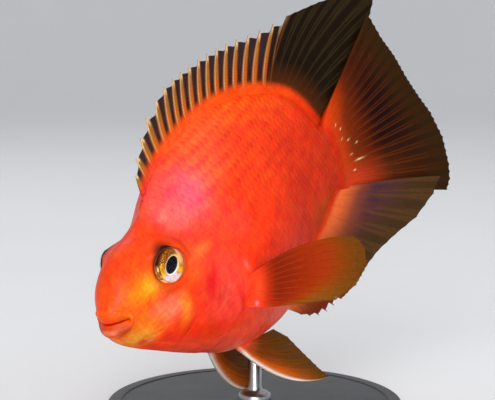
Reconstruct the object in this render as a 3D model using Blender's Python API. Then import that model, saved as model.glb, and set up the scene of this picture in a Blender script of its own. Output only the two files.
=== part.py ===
"""Blood parrot cichlid: the whole fish, life size, as a still museum model on a small display stand.

Metres, +Z up. The head points toward -X and the fish's left side toward -Y. The origin is the middle of the
underside of the stand's base. The fish is built straight and level first, in millimetres: x runs back from
the upper lip, y to the fish's right and z up from a line through the middle of the body. It is then bent
toward its left, and one empty pitches and rolls it into its pose over the rod.
"""

import math

import bmesh
import bpy
import numpy as np
from mathutils import Matrix, Vector
from mathutils.bvhtree import BVHTree

MM = 0.001
GAP = 0.3

# The body's lines in millimetres: (distance behind the upper lip, value there).
BACK_LINE = ((0, -3.4), (1.5, 0.2), (4, 4.6), (8, 9.2), (13, 13), (19, 15.8), (25, 17.2), (29, 18.6),
             (33, 21.4), (37, 25.4), (41, 29.6), (47, 33.8), (60, 38.9), (72, 41.9), (86, 44), (98, 44.3),
             (110, 43), (121, 40), (131, 35.4), (137, 29.2), (141, 22.4), (144, 18.2), (147, 17.4))
BELLY_LINE = ((0, -8.2), (1, -10), (3.5, -13.2), (8, -17), (14, -20.8), (24, -26.4), (36, -33), (47, -38.6),
              (60, -44.6), (73, -47.8), (85, -48.6), (96, -47.8), (104, -45.2), (112, -39.6), (121, -31.4),
              (130, -24.4), (138, -17.4), (142, -13.4), (147, -11.2))
HALF_WIDTH = ((0, 6.3), (1, 7.1), (3, 8.3), (6, 9.4), (10, 11), (15, 12.9), (20, 14.5), (28, 16.7),
              (36, 18.6), (48, 21.4), (60, 23.2), (72, 24), (84, 23.8), (96, 22), (108, 18.6), (120, 14.2),
              (131, 10.2), (139, 7.4), (147, 5.2))
WIDEST_LEVEL = ((0, -5.7), (6, -5.8), (15, -7.5), (28, -9.5), (42, -10), (60, -8), (80, -4), (100, 0),
                (125, 3), (147, 3))
# The cross-section narrows toward the back as (1 - t**a)**b, where t is the height over the widest level.
BACK_POWER = ((0, 2), (15, 2), (24, 1.85), (29, 1.9), (33, 2.2), (38, 2.2), (42, 1.85), (47, 1.65), (60, 1.6),
              (100, 1.8), (147, 2))
BACK_ROUND = ((0, 0.5), (18, 0.52), (25, 0.56), (29, 0.64), (33, 0.92), (37.5, 1.3), (41, 1.08), (45.5, 0.88),
              (52, 0.76), (60, 0.7), (100, 0.66), (135, 0.62), (147, 0.5))
BELLY_POWER = 2.1
BELLY_ROUND = 0.52
# How far the sides of a station lie behind its middle, so that the mouth's corners are set back.
SIDE_SWEEP = ((0, 5.6), (3, 4.2), (8, 2.4), (16, 0.8), (24, 0.1), (30, 0), (40, 0), (147, 0))
LIP_SWELL = ((0, 0.2), (0.7, 0.7), (1.7, 0.25), (2.6, -0.35), (4.5, 0), (6, 0), (10, 0), (147, 0))
STATION_STEP = ((0, 0.5), (6, 1.3), (16, 2), (45, 3), (70, 5), (115, 4.6), (130, 2.6), (147, 2.4))
BODY_LENGTH = 147
RING_POINTS = 36
MOUTH_RINGS = ((0.5, 0.96, 0.5), (1.6, 0.9, 0.13))
MOUTH_DEPTH = 4.2

# The head's parts: where thin cuts part them, in side view (x, z).
GILL_EDGE = ((24, 62), (30, 44), (37, 28), (44, 15), (49.5, 8.5), (52.6, 0), (53.4, -7), (53, -13),
             (51.4, -20), (48.4, -25.8), (45.4, -31.5), (43.6, -37), (42, -62))
GILL_FRONT = ((46.2, 11.2), (43.6, 10), (40.2, 5.5), (36.8, -0.5), (34, -7), (30.8, -13), (27, -19.5),
              (22, -26.5), (16, -34))
GILL_LIFT = 0.9
GILL_INNER = 9
JAW_CUT = ((-9, -5.65), (7.6, -5.65), (11, -9.2), (15, -14.6), (18.6, -20.4), (21, -34), (-9, -34))
TAIL_CUT_X = 134
REACH = 70

EYE_CENTRE = (27.7, 9.9, 5.4)
EYE_RADIUS = 7.4
EYE_FORWARD = 12
# The rim of the orbit: how far it stands out from the eye's centre, more behind than in front, and its fade.
ORBIT_RISE = 3.9
ORBIT_SLANT = 1.2
ORBIT_RADIUS = 6.8
ORBIT_FADE = 2.6
ORBIT_DEPTH = 3
NOSTRIL = (15.5, 6.5)
NOSTRIL_RADIUS = 0.65
NOSTRIL_DEPTH = 1.6

# Fins. Rays are counted from the front; (ray, value) lines are read at each ray.
MEMBRANE = 0.6
RAY_TIP = 0.4
RAY_BOW = 0.045
SPINE_RIDGE = 0.5
RAY_RIDGE = 0.3
SPINE_NOTCH = 0.16
RAY_NOTCH = 0.02
SHORT_SPINES = 4
DORSAL_SPINES = 17
DORSAL_RAYS = 28
DORSAL_BASE = (39.6, 121.5, 143)
DORSAL_TIPS = ((0, 38.4, 35.4), (1, 40.8, 41), (2, 46, 47), (3, 52, 52.6), (4, 60, 56.6), (5, 67.5, 59.4),
               (6, 74.2, 60.6), (7, 80, 61.2), (9, 92.7, 62.3), (11, 104.4, 63), (13, 116, 63),
               (15, 128.4, 62.6), (17, 143, 64), (19, 160, 64.8), (21, 176, 64), (22, 184.8, 61.2),
               (23, 180.2, 55.9), (24, 171.5, 46.2), (25, 163.5, 37.3), (26, 156.9, 29.8), (27, 151.9, 24.2))
ANAL_SPINES = 6
ANAL_RAYS = 16
ANAL_BASE = (103.5, 141.5)
ANAL_TIPS = ((0, 107, -51.5), (1, 111, -55.5), (2, 115, -58.4), (3, 119.6, -60.4), (4, 124, -60.4),
             (5, 128.4, -59), (7, 137, -55.4), (9, 145.4, -50.6), (10, 150.4, -46.4), (11, 157.5, -42.2),
             (12, 167, -38.6), (13, 179, -35), (14, 189.5, -28), (15, 194, -22.5))
ANAL_SWING = 6.5
ANAL_LAST_BOW = -0.5
CAUDAL_RAYS = 17
CAUDAL_ROOT = (16.8, -10.6)
CAUDAL_TIPS = ((0, 180.4, 54), (2, 184.6, 42), (4, 189, 33.2), (6, 193, 22.5), (8, 197, 13.4), (10, 201.4, 4),
               (12, 204.4, -8), (14, 204.4, -20.4), (15, 203.2, -26.8), (16, 200.5, -31))
PECTORAL_RAYS = 12
PECTORAL_ROOT = ((56.6, -13.4), (54.8, -22.6))
PECTORAL_FLARE = 28
PECTORAL_TIPS = ((0, 49.5, 3.4), (1, 52.6, 0.3), (2, 54.2, -3.6), (4, 53.4, -10.5), (6, 46.5, -16),
                 (8, 36, -17.8), (10, 21, -13.2), (11, 12.5, -9.5))
PECTORAL_BOW = 4.5
PELVIC_RAYS = 7
PELVIC_ROOT = ((61.5, 6.6), (69.5, 5.4))
PELVIC_TIPS = ((0, 32, 32.4), (1, 33, 32.4), (2, 31.5, 28.5), (4, 29.5, 17), (5, 28.5, 10), (6, 24.5, 4))
PELVIC_SPREAD = {"left": 30, "right": 6}
PELVIC_BOW = 7.4

# Pose: the bend of the rear body, then pitch and roll about a point of the middle line.
BEND_START = 70
BEND_END = 155
BEND = math.radians(28)
POSE_POINT = Vector((75, 0, 0))
PITCH = math.radians(15.2)
ROLL = math.radians(-6.9)

# Stand.
BASE_RADIUS = 58
BASE_HEIGHT = 8
BASE_BEVEL = 1.2
ROD_RADIUS = 2.7
ROD_FOOT_RADIUS = 6.5
ROD_FOOT_HEIGHT = 3
ROD_TOUCH_X = 84
FISH_HEIGHT = 78

ORANGE = (0.80, 0.10, 0.025)
CHEEK = (0.85, 0.22, 0.04)
FIN_RED = (0.55, 0.10, 0.03)
FIN_SMOKE = (0.16, 0.09, 0.06)
IRIS = (0.55, 0.36, 0.10)


def smooth_line(points):
    """Return a smooth function through (x, value) points, read by the square root of x to round the front."""
    x, value = np.array(points, float).T
    u = np.sqrt(x - x[0])
    secant = np.diff(value) / np.diff(u)
    slope = np.concatenate((secant[:1], (secant[:-1] + secant[1:]) / 2, secant[-1:]))

    def read(at):
        v = np.sqrt(np.clip(np.asarray(at, float), x[0], x[-1]) - x[0])
        i = np.clip(np.searchsorted(u, v) - 1, 0, len(u) - 2)
        step = u[i + 1] - u[i]
        f = (v - u[i]) / step
        start = value[i] * (1 + 2 * f) * (1 - f) ** 2 + slope[i] * step * f * (1 - f) ** 2
        return start + value[i + 1] * f * f * (3 - 2 * f) + slope[i + 1] * step * f * f * (f - 1)

    return read


def by_ray(points):
    """Return a function that reads (ray, value...) points at any ray by straight lines."""
    table = np.array(points, float)
    return lambda ray: [float(np.interp(ray, table[:, 0], column)) for column in table[:, 1:].T]


back = smooth_line(BACK_LINE)
belly = smooth_line(BELLY_LINE)
half_width = smooth_line(HALF_WIDTH)
widest_level = smooth_line(WIDEST_LEVEL)
back_power = smooth_line(BACK_POWER)
back_round = smooth_line(BACK_ROUND)
side_sweep = smooth_line(SIDE_SWEEP)
lip_swell = smooth_line(LIP_SWELL)
station_step = smooth_line(STATION_STEP)


def side_at(x, z):
    """Return the body's half width at a point of the side view."""
    level = widest_level(x)
    if z >= level:
        t = min(1, (z - level) / (back(x) - level))
        return float(half_width(x) * (1 - t ** back_power(x)) ** back_round(x))
    t = min(1, (level - z) / (level - belly(x)))
    return float(half_width(x) * (1 - t ** BELLY_POWER) ** BELLY_ROUND)


def height_at(x, y, upper):
    """Return the height of the back (upper) or of the belly at a distance y from the middle plane."""
    level = widest_level(x)
    part = min(1, abs(y) / half_width(x))
    if upper:
        t = (1 - part ** (1 / back_round(x))) ** (1 / back_power(x))
        return float(level + (back(x) - level) * t)
    t = (1 - part ** (1 / BELLY_ROUND)) ** (1 / BELLY_POWER)
    return float(level - (level - belly(x)) * t)


def stations():
    """Return the distances behind the lip at which the body has a ring."""
    places = [0.0]
    while places[-1] < BODY_LENGTH:
        places.append(places[-1] + float(station_step(places[-1])))
    return [p * BODY_LENGTH / places[-1] for p in places]


def body_ring(x, lift=0.0, width=1.0, height=1.0, depth=0.0):
    """Return the points of one ring, from the ridge of the back round the fish's right side and back."""
    angles = np.linspace(0, 2 * math.pi, RING_POINTS, endpoint=False)
    rise, side = np.cos(angles), np.sin(angles)
    level = widest_level(x)
    swell = lip_swell(x) + lift
    t = np.abs(rise)
    upper = rise >= 0
    above = (1 - t ** back_power(x)).clip(0) ** back_round(x)
    below = (1 - t ** BELLY_POWER).clip(0) ** BELLY_ROUND
    part = np.sign(side) * np.where(upper, above, below)
    y = (half_width(x) + swell) * width * part
    reach = np.where(upper, back(x) + swell - level, level - belly(x) + swell) * height
    z = level + np.sign(rise) * t * reach
    along = x + depth + side_sweep(x) * part ** 2
    return np.column_stack((along, y, z))


def shape_orbits(rings):
    """Draw the skin round each eye onto a slanted rim, in place."""
    centre = np.array(EYE_CENTRE)
    forward = math.radians(EYE_FORWARD)
    axis = np.array((-math.sin(forward), math.cos(forward), 0))
    rearward = np.array((math.cos(forward), math.sin(forward), 0))
    for ring in rings:
        side = np.where(ring[:, 1] < 0, -1, 1)
        offset = np.column_stack((ring[:, 0], np.abs(ring[:, 1]), ring[:, 2])) - centre
        along = offset @ axis
        away = np.linalg.norm(offset - np.outer(along, axis), axis=1)
        rise = ORBIT_RISE + ORBIT_SLANT * (offset @ rearward) / np.maximum(away, 1)
        pull = np.exp(-(np.maximum(away - ORBIT_RADIUS, 0) / ORBIT_FADE) ** 2)
        pull *= np.clip((along + ORBIT_DEPTH) / ORBIT_DEPTH, 0, 1)
        moved = np.outer(pull * (rise - along), axis)
        ring[:, 0] += moved[:, 0]
        ring[:, 1] += side * moved[:, 1]


def bend(point):
    """Carry a point of the straight fish onto its bent middle line."""
    x, y, z = point
    if x <= BEND_START:
        return Vector((x, y, z))
    radius = (BEND_END - BEND_START) / BEND
    turn = (min(x, BEND_END) - BEND_START) / radius
    past = max(0, x - BEND_END)
    along = BEND_START + radius * math.sin(turn) + past * math.cos(turn) + y * math.sin(turn)
    across = -radius * (1 - math.cos(turn)) - past * math.sin(turn) + y * math.cos(turn)
    return Vector((along, across, z))


def material(name, colour, roughness, metallic=0.0):
    """Return a plain material of one colour."""
    finish = bpy.data.materials.new(name)
    finish.use_nodes = True
    shader = finish.node_tree.nodes["Principled BSDF"]
    shader.inputs["Base Color"].default_value = (*colour, 1)
    shader.inputs["Roughness"].default_value = roughness
    shader.inputs["Metallic"].default_value = metallic
    return finish


def new_object(name, points, faces):
    """Return an object of points in millimetres, its faces all turned outward."""
    mesh = bpy.data.meshes.new(name)
    mesh.from_pydata([Vector(p) for p in points], [], faces)
    shape = bmesh.new()
    shape.from_mesh(mesh)
    bmesh.ops.recalc_face_normals(shape, faces=shape.faces)
    shape.to_mesh(mesh)
    shape.free()
    thing = bpy.data.objects.new(name, mesh)
    bpy.context.collection.objects.link(thing)
    return thing


def ring_body(name, lift=0.0):
    """Return the whole straight body as one closed surface, with the mouth as a shallow pocket."""
    places = stations()
    mouth = [body_ring(0, lift, wide, high, depth) for depth, wide, high in reversed(MOUTH_RINGS)]
    rings = mouth + [body_ring(x, lift) for x in places]
    shape_orbits(rings)
    points = [tuple(p) for ring in rings for p in ring]
    faces = []
    for r in range(len(rings) - 1):
        for i in range(RING_POINTS):
            j = (i + 1) % RING_POINTS
            a, b = r * RING_POINTS + i, r * RING_POINTS + j
            c, d = b + RING_POINTS, a + RING_POINTS
            faces += [(a, b, c), (a, c, d)]
    front = len(points)
    points.append((MOUTH_DEPTH, 0, float(widest_level(0))))
    rear = len(points)
    points.append((BODY_LENGTH, 0, float(widest_level(BODY_LENGTH))))
    last = (len(rings) - 1) * RING_POINTS
    for i in range(RING_POINTS):
        j = (i + 1) % RING_POINTS
        faces += [(front, j, i), (rear, last + i, last + j)]
    return new_object(name, points, faces)


def prism(name, outline, low=-REACH, high=REACH):
    """Return a cutter: a side-view outline (x, z) drawn out from y = low to y = high."""
    count = len(outline)
    points = [(x, y, z) for y in (low, high) for x, z in outline]
    faces = [tuple(range(count)), tuple(range(count, 2 * count))]
    faces += [(i, (i + 1) % count, (i + 1) % count + count, i + count) for i in range(count)]
    cutter = new_object(name, points, faces)
    shape = bmesh.new()
    shape.from_mesh(cutter.data)
    bmesh.ops.triangulate(shape, faces=shape.faces)
    shape.to_mesh(cutter.data)
    shape.free()
    return cutter


def ball(name, centre, radius, segments=24, rows=16):
    """Return a ball whose poles lie along y."""
    shape = bmesh.new()
    turned = Matrix.Translation(centre) @ Matrix.Rotation(math.pi / 2, 4, "X")
    bmesh.ops.create_uvsphere(shape, u_segments=segments, v_segments=rows, radius=radius, matrix=turned)
    mesh = bpy.data.meshes.new(name)
    shape.to_mesh(mesh)
    shape.free()
    thing = bpy.data.objects.new(name, mesh)
    bpy.context.collection.objects.link(thing)
    return thing


def copy_of(source, name):
    """Return a copy of an object with a mesh of its own."""
    twin = source.copy()
    twin.data = source.data.copy()
    twin.name = name
    bpy.context.collection.objects.link(twin)
    return twin


def discard(*things):
    """Remove objects that only served as tools."""
    for thing in things:
        bpy.data.objects.remove(thing)


def boolean(body, tool, operation):
    """Cut or keep a body by a tool, and remove the tool."""
    step = body.modifiers.new("cut", "BOOLEAN")
    step.operation = operation
    step.object = tool
    bpy.context.view_layer.objects.active = body
    bpy.ops.object.modifier_apply(modifier=step.name)
    discard(tool)


def keep_largest(thing):
    """Leave only the largest closed surface of a cut body."""
    shape = bmesh.new()
    shape.from_mesh(thing.data)
    shape.verts.ensure_lookup_table()
    unseen = set(shape.verts)
    islands = []
    while unseen:
        pile = [unseen.pop()]
        island = set(pile)
        while pile:
            for edge in pile.pop().link_edges:
                near = [v for v in edge.verts if v in unseen]
                unseen.difference_update(near)
                island.update(near)
                pile += near
        islands.append(island)
    largest = max(islands, key=len)
    bmesh.ops.delete(shape, geom=[v for v in shape.verts if v not in largest], context="VERTS")
    shape.to_mesh(thing.data)
    shape.free()


def shifted(line, distance):
    """Return a side-view line moved sideways, to its left as it runs for a positive distance."""
    moved = []
    for i, (x, z) in enumerate(line):
        before, after = line[max(i - 1, 0)], line[min(i + 1, len(line) - 1)]
        dx, dz = after[0] - before[0], after[1] - before[1]
        length = math.hypot(dx, dz)
        moved.append((x - dz / length * distance, z + dx / length * distance))
    return moved


def gill_outline(grow):
    """Return the gill cover's side view, grown forward and down by a distance."""
    rear = [p for p in GILL_EDGE if p[1] < 12]
    return shifted(GILL_FRONT, -grow) + shifted(rear, -GAP / 2 + 2 * grow)[::-1]


def make_head(body, lifted):
    """Part the head from the body, and the jaw and the gill covers from the head."""
    front = [(-REACH, -62)] + [(-REACH, 62)] + shifted(GILL_EDGE, -GAP / 2)
    head = copy_of(body, "head")
    boolean(head, prism("cut_head", front), "INTERSECT")
    jaw = copy_of(head, "jaw")
    boolean(jaw, prism("cut_jaw", shifted_closed(JAW_CUT, -GAP / 2)), "INTERSECT")
    boolean(head, prism("cut_mouth", shifted_closed(JAW_CUT, GAP / 2)), "DIFFERENCE")
    covers = []
    for side, sign in (("left", -1), ("right", 1)):
        inner, outer = sorted((sign * GILL_INNER, sign * REACH))
        cover = copy_of(lifted, f"gill_cover_{side}")
        boolean(cover, prism("cut_cover", gill_outline(0), inner, outer), "INTERSECT")
        covers.append(cover)
        inner, outer = sorted((sign * (GILL_INNER - GAP), sign * REACH))
        boolean(head, prism("cut_gill", gill_outline(GAP), inner, outer), "DIFFERENCE")
        x, y, z = EYE_CENTRE
        boolean(head, ball("cut_eye", (x, sign * y, z), EYE_RADIUS + GAP), "DIFFERENCE")
        nose_x, nose_z = NOSTRIL
        depth = sign * (side_at(nose_x, nose_z) - NOSTRIL_DEPTH)
        outer = sign * REACH
        hole = [(nose_x + NOSTRIL_RADIUS * math.cos(a), nose_z + NOSTRIL_RADIUS * math.sin(a))
                for a in np.linspace(0, 2 * math.pi, 9)[:-1]]
        boolean(head, prism("cut_nostril", hole, *sorted((depth, outer))), "DIFFERENCE")
    return [head, jaw, *covers]


def shifted_closed(outline, distance):
    """Return a closed outline grown by a distance (shrunk when it is negative)."""
    grown = []
    count = len(outline)
    for i in range(count):
        p, q, r = (Vector(outline[(i + k) % count]) for k in (-1, 0, 1))
        first, second = (q - p).normalized(), (r - q).normalized()
        normal = Vector((-first.y - second.y, first.x + second.x)).normalized()
        corner = q + normal * distance / max(0.5, normal.dot(Vector((-first.y, first.x))))
        grown.append(tuple(corner))
    return grown


def make_trunk(body):
    """Part the trunk and the tail base from the body."""
    cut = TAIL_CUT_X
    middle = shifted(GILL_EDGE, GAP / 2) + [(cut - GAP / 2, -62), (cut - GAP / 2, 62)]
    trunk = copy_of(body, "trunk")
    boolean(trunk, prism("cut_trunk", middle), "INTERSECT")
    rear = [(cut + GAP / 2, -62), (REACH * 3, -62), (REACH * 3, 62), (cut + GAP / 2, 62)]
    tail = copy_of(body, "tail_base")
    boolean(tail, prism("cut_tail", rear), "INTERSECT")
    return [trunk, tail]


def make_eye(side, sign):
    """Make one eyeball."""
    x, y, z = EYE_CENTRE
    return ball(f"eye_{side}", (x, sign * y, z), EYE_RADIUS, 20, 14)


class Ray:
    """One fin ray: its root and tip, the bow between them, and the half thickness of its ridge."""

    def __init__(self, root, tip, bow, ridge):
        self.root, self.tip, self.bow, self.ridge = Vector(root), Vector(tip), Vector(bow), ridge

    def at(self, t):
        return self.root.lerp(self.tip, t) + self.bow * 4 * t * (1 - t)


def fin_columns(count, flank, notch):
    """Return (ray position, reach, share of ridge) for each column of a fin's grid."""
    columns = []
    for ray in range(count - 1):
        dip = 1 - notch(ray)
        columns += [(ray, 1, 1), (ray + flank, dip, 0), (ray + 1 - flank, dip, 0)]
    return columns + [(count - 1, 1, 1)]


def fin(name, rays, normal, rows, notch, seat, flesh, flank=0.24):
    """Make a fin: a membrane between rays that stand up as ridges, closed all round."""
    normal = Vector(normal).normalized()
    thickest, fade = flesh
    sheets = ([], [])
    columns = fin_columns(len(rays), flank, notch)
    for place, reach, share in columns:
        ray = min(int(place), len(rays) - 2)
        part = place - ray
        for row in range(rows + 1):
            t = (row / rows) * reach
            centre = rays[ray].at(t).lerp(rays[ray + 1].at(t), part)
            length = (centre - rays[ray].root.lerp(rays[ray + 1].root, part)).length
            ridge = rays[ray].ridge * (1 - part) + rays[ray + 1].ridge * part
            half = MEMBRANE / 2 + share * (ridge * (1 - t) + (RAY_TIP - MEMBRANE) / 2 * t)
            half = max(half, thickest(place) * math.exp(-(length / fade) ** 2))
            for sheet, sign in zip(sheets, (1, -1)):
                point = centre + normal * sign * half
                sheet.append(seat(point) if row == 0 else point)
    points = sheets[0] + sheets[1]
    count, step = len(sheets[0]), rows + 1
    faces = []
    for c in range(len(columns) - 1):
        for r in range(rows):
            a, b = c * step + r, c * step + r + 1
            d, e = a + step, b + step
            for shift in (0, count):
                faces += [(a + shift, b + shift, e + shift), (a + shift, e + shift, d + shift)]
    rim = [c * step for c in range(len(columns))]
    rim += [(len(columns) - 1) * step + r for r in range(1, rows + 1)]
    rim += [c * step + rows for c in range(len(columns) - 2, -1, -1)]
    rim += list(range(rows - 1, 0, -1))
    for a, b in zip(rim, rim[1:] + rim[:1]):
        faces += [(a, b, b + count), (a, b + count, a + count)]
    return new_object(name, points, faces)


def seat_on_ridge(upper):
    """Return a rule that sets a fin's root just off the back or the belly."""
    line = back if upper else belly
    places = stations()
    heights = line(places)

    def seat(point):
        slope = float(line(point.x + 0.2) - line(point.x - 0.2)) / 0.4
        away = GAP * math.sqrt(1 + slope * slope)
        chord = float(np.interp(point.x, places, heights))
        if upper:
            return Vector((point.x, point.y, max(chord, float(line(point.x))) + away))
        return Vector((point.x, point.y, min(chord, float(line(point.x))) - away))

    return seat


def median_rays(root_x, line, tips, ridge, up, swing=0.0, last_bow=1.0):
    """Return the rays of a fin on the middle plane, from the line of the body to their tips.

    The last ray swings left by swing and has last_bow times the usual bow.
    """
    count = len(root_x)
    tip_at = by_ray(tips)
    rays = []
    for ray, x in enumerate(root_x):
        root = Vector((x, 0, float(line(x))))
        along, height = tip_at(ray)
        share = (ray / (count - 1)) ** 2
        tip = Vector((along, -swing * share, height))
        bow = (tip - root).cross(Vector((0, up, 0))) * RAY_BOW * (1 + (last_bow - 1) * share)
        rays.append(Ray(root, tip, bow, ridge(ray)))
    return rays


def dorsal_ridge(ray):
    """Return the height of a back-fin ridge over the membrane."""
    return SPINE_RIDGE if ray < DORSAL_SPINES else RAY_RIDGE


def dorsal_notch(ray):
    """Return the share of a ray's length by which the membrane behind it falls short."""
    if ray < SHORT_SPINES:
        return 0.3
    return SPINE_NOTCH if ray < DORSAL_SPINES else RAY_NOTCH


def anal_ridge(ray):
    """Return the height of an anal-fin ridge over the membrane."""
    return SPINE_RIDGE if ray < ANAL_SPINES else RAY_RIDGE


def anal_notch(ray):
    """Return the share of a ray's length by which the membrane behind it falls short."""
    return SPINE_NOTCH if ray < ANAL_SPINES else RAY_NOTCH


def soft_notch(ray):
    """Return the same small notch for every soft ray."""
    return RAY_NOTCH


def make_dorsal():
    """Make the long back fin: stiff pointed spines, then soft rays that trail over the tail."""
    first, last_spine, last = DORSAL_BASE
    spines = list(np.linspace(first, last_spine, DORSAL_SPINES))
    soft = last_spine + (last - last_spine) * np.linspace(0, 1, DORSAL_RAYS - DORSAL_SPINES + 1)[1:] ** 0.85
    rays = median_rays(spines + list(soft), back, DORSAL_TIPS, dorsal_ridge, 1)
    return fin("dorsal_fin", rays, (0, 1, 0), 5, dorsal_notch, seat_on_ridge(True), (lambda place: 1.0, 6))


def make_anal():
    """Make the anal fin, whose long rear rays pass on the left of the tail fin."""
    root_x = list(np.linspace(*ANAL_BASE, ANAL_RAYS))
    rays = median_rays(root_x, belly, ANAL_TIPS, anal_ridge, -1, ANAL_SWING, ANAL_LAST_BOW)
    return fin("anal_fin", rays, (0, 1, 0), 5, anal_notch, seat_on_ridge(False), (lambda place: 0.9, 8))


def make_caudal():
    """Make the tail fin as a fan on the end of the tail base."""
    high, low = CAUDAL_ROOT
    tip_at = by_ray(CAUDAL_TIPS)
    rays = []
    for ray in range(CAUDAL_RAYS):
        along, height = tip_at(ray)
        root = Vector((BODY_LENGTH + GAP, 0, high + (low - high) * ray / (CAUDAL_RAYS - 1)))
        rays.append(Ray(root, (along, 0, height), (0, 0, 0), RAY_RIDGE))

    def thickest(place):
        z = high + (low - high) * place / (CAUDAL_RAYS - 1)
        return max(0.8, side_at(BODY_LENGTH, z) - 0.2)

    def seat(point):
        return Vector((BODY_LENGTH + GAP, point.y, point.z))

    return fin("caudal_fin", rays, (0, 1, 0), 6, soft_notch, seat, (thickest, 10))


def make_pectoral(side, sign):
    """Make a pectoral fin: a broad fan held out and back from behind the gill cover."""
    (x0, z0), (x1, z1) = PECTORAL_ROOT
    flare = math.radians(PECTORAL_FLARE)
    out = Vector((math.cos(flare), sign * math.sin(flare), 0))
    middle = Vector(((x0 + x1) / 2, sign * side_at((x0 + x1) / 2, (z0 + z1) / 2), (z0 + z1) / 2))
    tip_at = by_ray(PECTORAL_TIPS)
    rays = []
    for ray in range(PECTORAL_RAYS):
        part = ray / (PECTORAL_RAYS - 1)
        x, z = x0 + (x1 - x0) * part, z0 + (z1 - z0) * part
        root = Vector((x, sign * (side_at(x, z) + GAP), z))
        along, up = tip_at(ray)
        tip = middle + out * along + Vector((0, 0, up))
        bow = Vector((0, 0, PECTORAL_BOW * (1 - 1.3 * part)))
        rays.append(Ray(root, tip, bow, RAY_RIDGE))
    normal = (-sign * math.sin(flare), math.cos(flare), 0)

    def seat(point):
        return Vector((point.x, sign * (side_at(point.x, point.z) + GAP), point.z))

    return fin(f"pectoral_fin_{side}", rays, normal, 6, soft_notch, seat, (lambda place: 1.2, 7))


def make_pelvic(side, sign):
    """Make a pelvic fin: a pointed blade that hangs back and outward from the breast."""
    (x0, y0), (x1, y1) = PELVIC_ROOT
    spread = math.radians(PELVIC_SPREAD[side])
    down = Vector((0, sign * math.sin(spread), -math.cos(spread)))
    tip_at = by_ray(PELVIC_TIPS)
    rays = []
    for ray in range(PELVIC_RAYS):
        part = ray / (PELVIC_RAYS - 1)
        x, y = x0 + (x1 - x0) * part, sign * (y0 + (y1 - y0) * part)
        root = Vector((x, y, height_at(x, y, False) - GAP))
        along, drop = tip_at(ray)
        tip = Vector((x0, sign * y0, root.z)) + Vector((along, 0, 0)) + down * drop
        bow = (down * 0.7 - Vector((0.7, 0, 0))) * PELVIC_BOW * (1 - part)
        rays.append(Ray(root, tip, bow, SPINE_RIDGE if ray == 0 else RAY_RIDGE))
    normal = (0, math.cos(spread), sign * math.sin(spread))

    def seat(point):
        return Vector((point.x, point.y, height_at(point.x, point.y, False) - GAP))

    return fin(f"pelvic_fin_{side}", rays, normal, 6, soft_notch, seat, (lambda place: 1.1, 6))


def pose_fish(parts, stiff):
    """Bend the straight parts, not the stiff ones, and hang all on one empty that sets the pose."""
    turn = Matrix.Rotation(-PITCH, 4, "Y") @ Matrix.Rotation(ROLL, 4, "X")
    touch = turn @ (bend((ROD_TOUCH_X, 0, float(belly(ROD_TOUCH_X)))) - POSE_POINT)
    holder = bpy.data.objects.new("fish_pose", None)
    bpy.context.collection.objects.link(holder)
    holder.matrix_world = Matrix.Translation((-touch.x * MM, -touch.y * MM, FISH_HEIGHT * MM)) @ turn
    for thing in parts + stiff:
        for vertex in thing.data.vertices:
            place = vertex.co.copy() if thing in stiff else bend(vertex.co)
            vertex.co = (place - POSE_POINT) * MM
        thing.parent = holder


def make_base():
    """Make the stand's round base, its upper edge rounded."""
    shape = bmesh.new()
    middle = Matrix.Translation((0, 0, BASE_HEIGHT * MM / 2))
    made = bmesh.ops.create_cone(shape, cap_ends=True, segments=48, radius1=BASE_RADIUS * MM,
                                 radius2=BASE_RADIUS * MM, depth=BASE_HEIGHT * MM, matrix=middle)
    top = [e for e in shape.edges if all(v.co.z > BASE_HEIGHT * MM * 0.9 for v in e.verts)]
    bmesh.ops.bevel(shape, geom=top, offset=BASE_BEVEL * MM, segments=2, affect="EDGES", profile=0.5)
    mesh = bpy.data.meshes.new("stand_base")
    shape.to_mesh(mesh)
    shape.free()
    base = bpy.data.objects.new("stand_base", mesh)
    bpy.context.collection.objects.link(base)
    return base


def make_rod(trunk):
    """Make the rod, with a round foot on the base and its top shaped to the belly above it."""
    bpy.context.view_layer.update()
    place = trunk.matrix_world
    surface = BVHTree.FromPolygons([place @ v.co for v in trunk.data.vertices],
                                   [tuple(p.vertices) for p in trunk.data.polygons])
    sides = 24
    foot = (BASE_HEIGHT + GAP) * MM
    levels = [(ROD_FOOT_RADIUS, foot), (ROD_FOOT_RADIUS, foot + ROD_FOOT_HEIGHT * MM * 0.6),
              (ROD_RADIUS + 1, foot + ROD_FOOT_HEIGHT * MM), (ROD_RADIUS, foot + ROD_FOOT_HEIGHT * MM * 1.4)]

    def touch(x, y):
        hit = surface.ray_cast(Vector((x, y, foot)), Vector((0, 0, 1)))
        return hit[0].z - GAP * MM * 1.4

    points = []
    for radius, z in levels:
        points += [(radius * MM * math.cos(a), radius * MM * math.sin(a), z)
                   for a in np.linspace(0, 2 * math.pi, sides + 1)[:-1]]
    for radius in (ROD_RADIUS, ROD_RADIUS / 2):
        for a in np.linspace(0, 2 * math.pi, sides + 1)[:-1]:
            x, y = radius * MM * math.cos(a), radius * MM * math.sin(a)
            points.append((x, y, touch(x, y)))
    faces = [tuple(range(sides))]
    rings = len(levels) + 2
    for r in range(rings - 1):
        for i in range(sides):
            j = (i + 1) % sides
            a, b = r * sides + i, r * sides + j
            faces += [(a, b, b + sides), (a, b + sides, a + sides)]
    centre = len(points)
    points.append((0, 0, touch(0, 0)))
    last = (rings - 1) * sides
    faces += [(last + i, last + (i + 1) % sides, centre) for i in range(sides)]
    return new_object("stand_rod", points, faces)


def finish(thing, colour, roughness, metallic=0.0):
    """Give a part its material and smooth shading."""
    thing.data.materials.clear()
    thing.data.materials.append(material(thing.name, colour, roughness, metallic))
    thing.data.shade_smooth()
    thing.data.set_sharp_from_angle(angle=math.radians(40))


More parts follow.
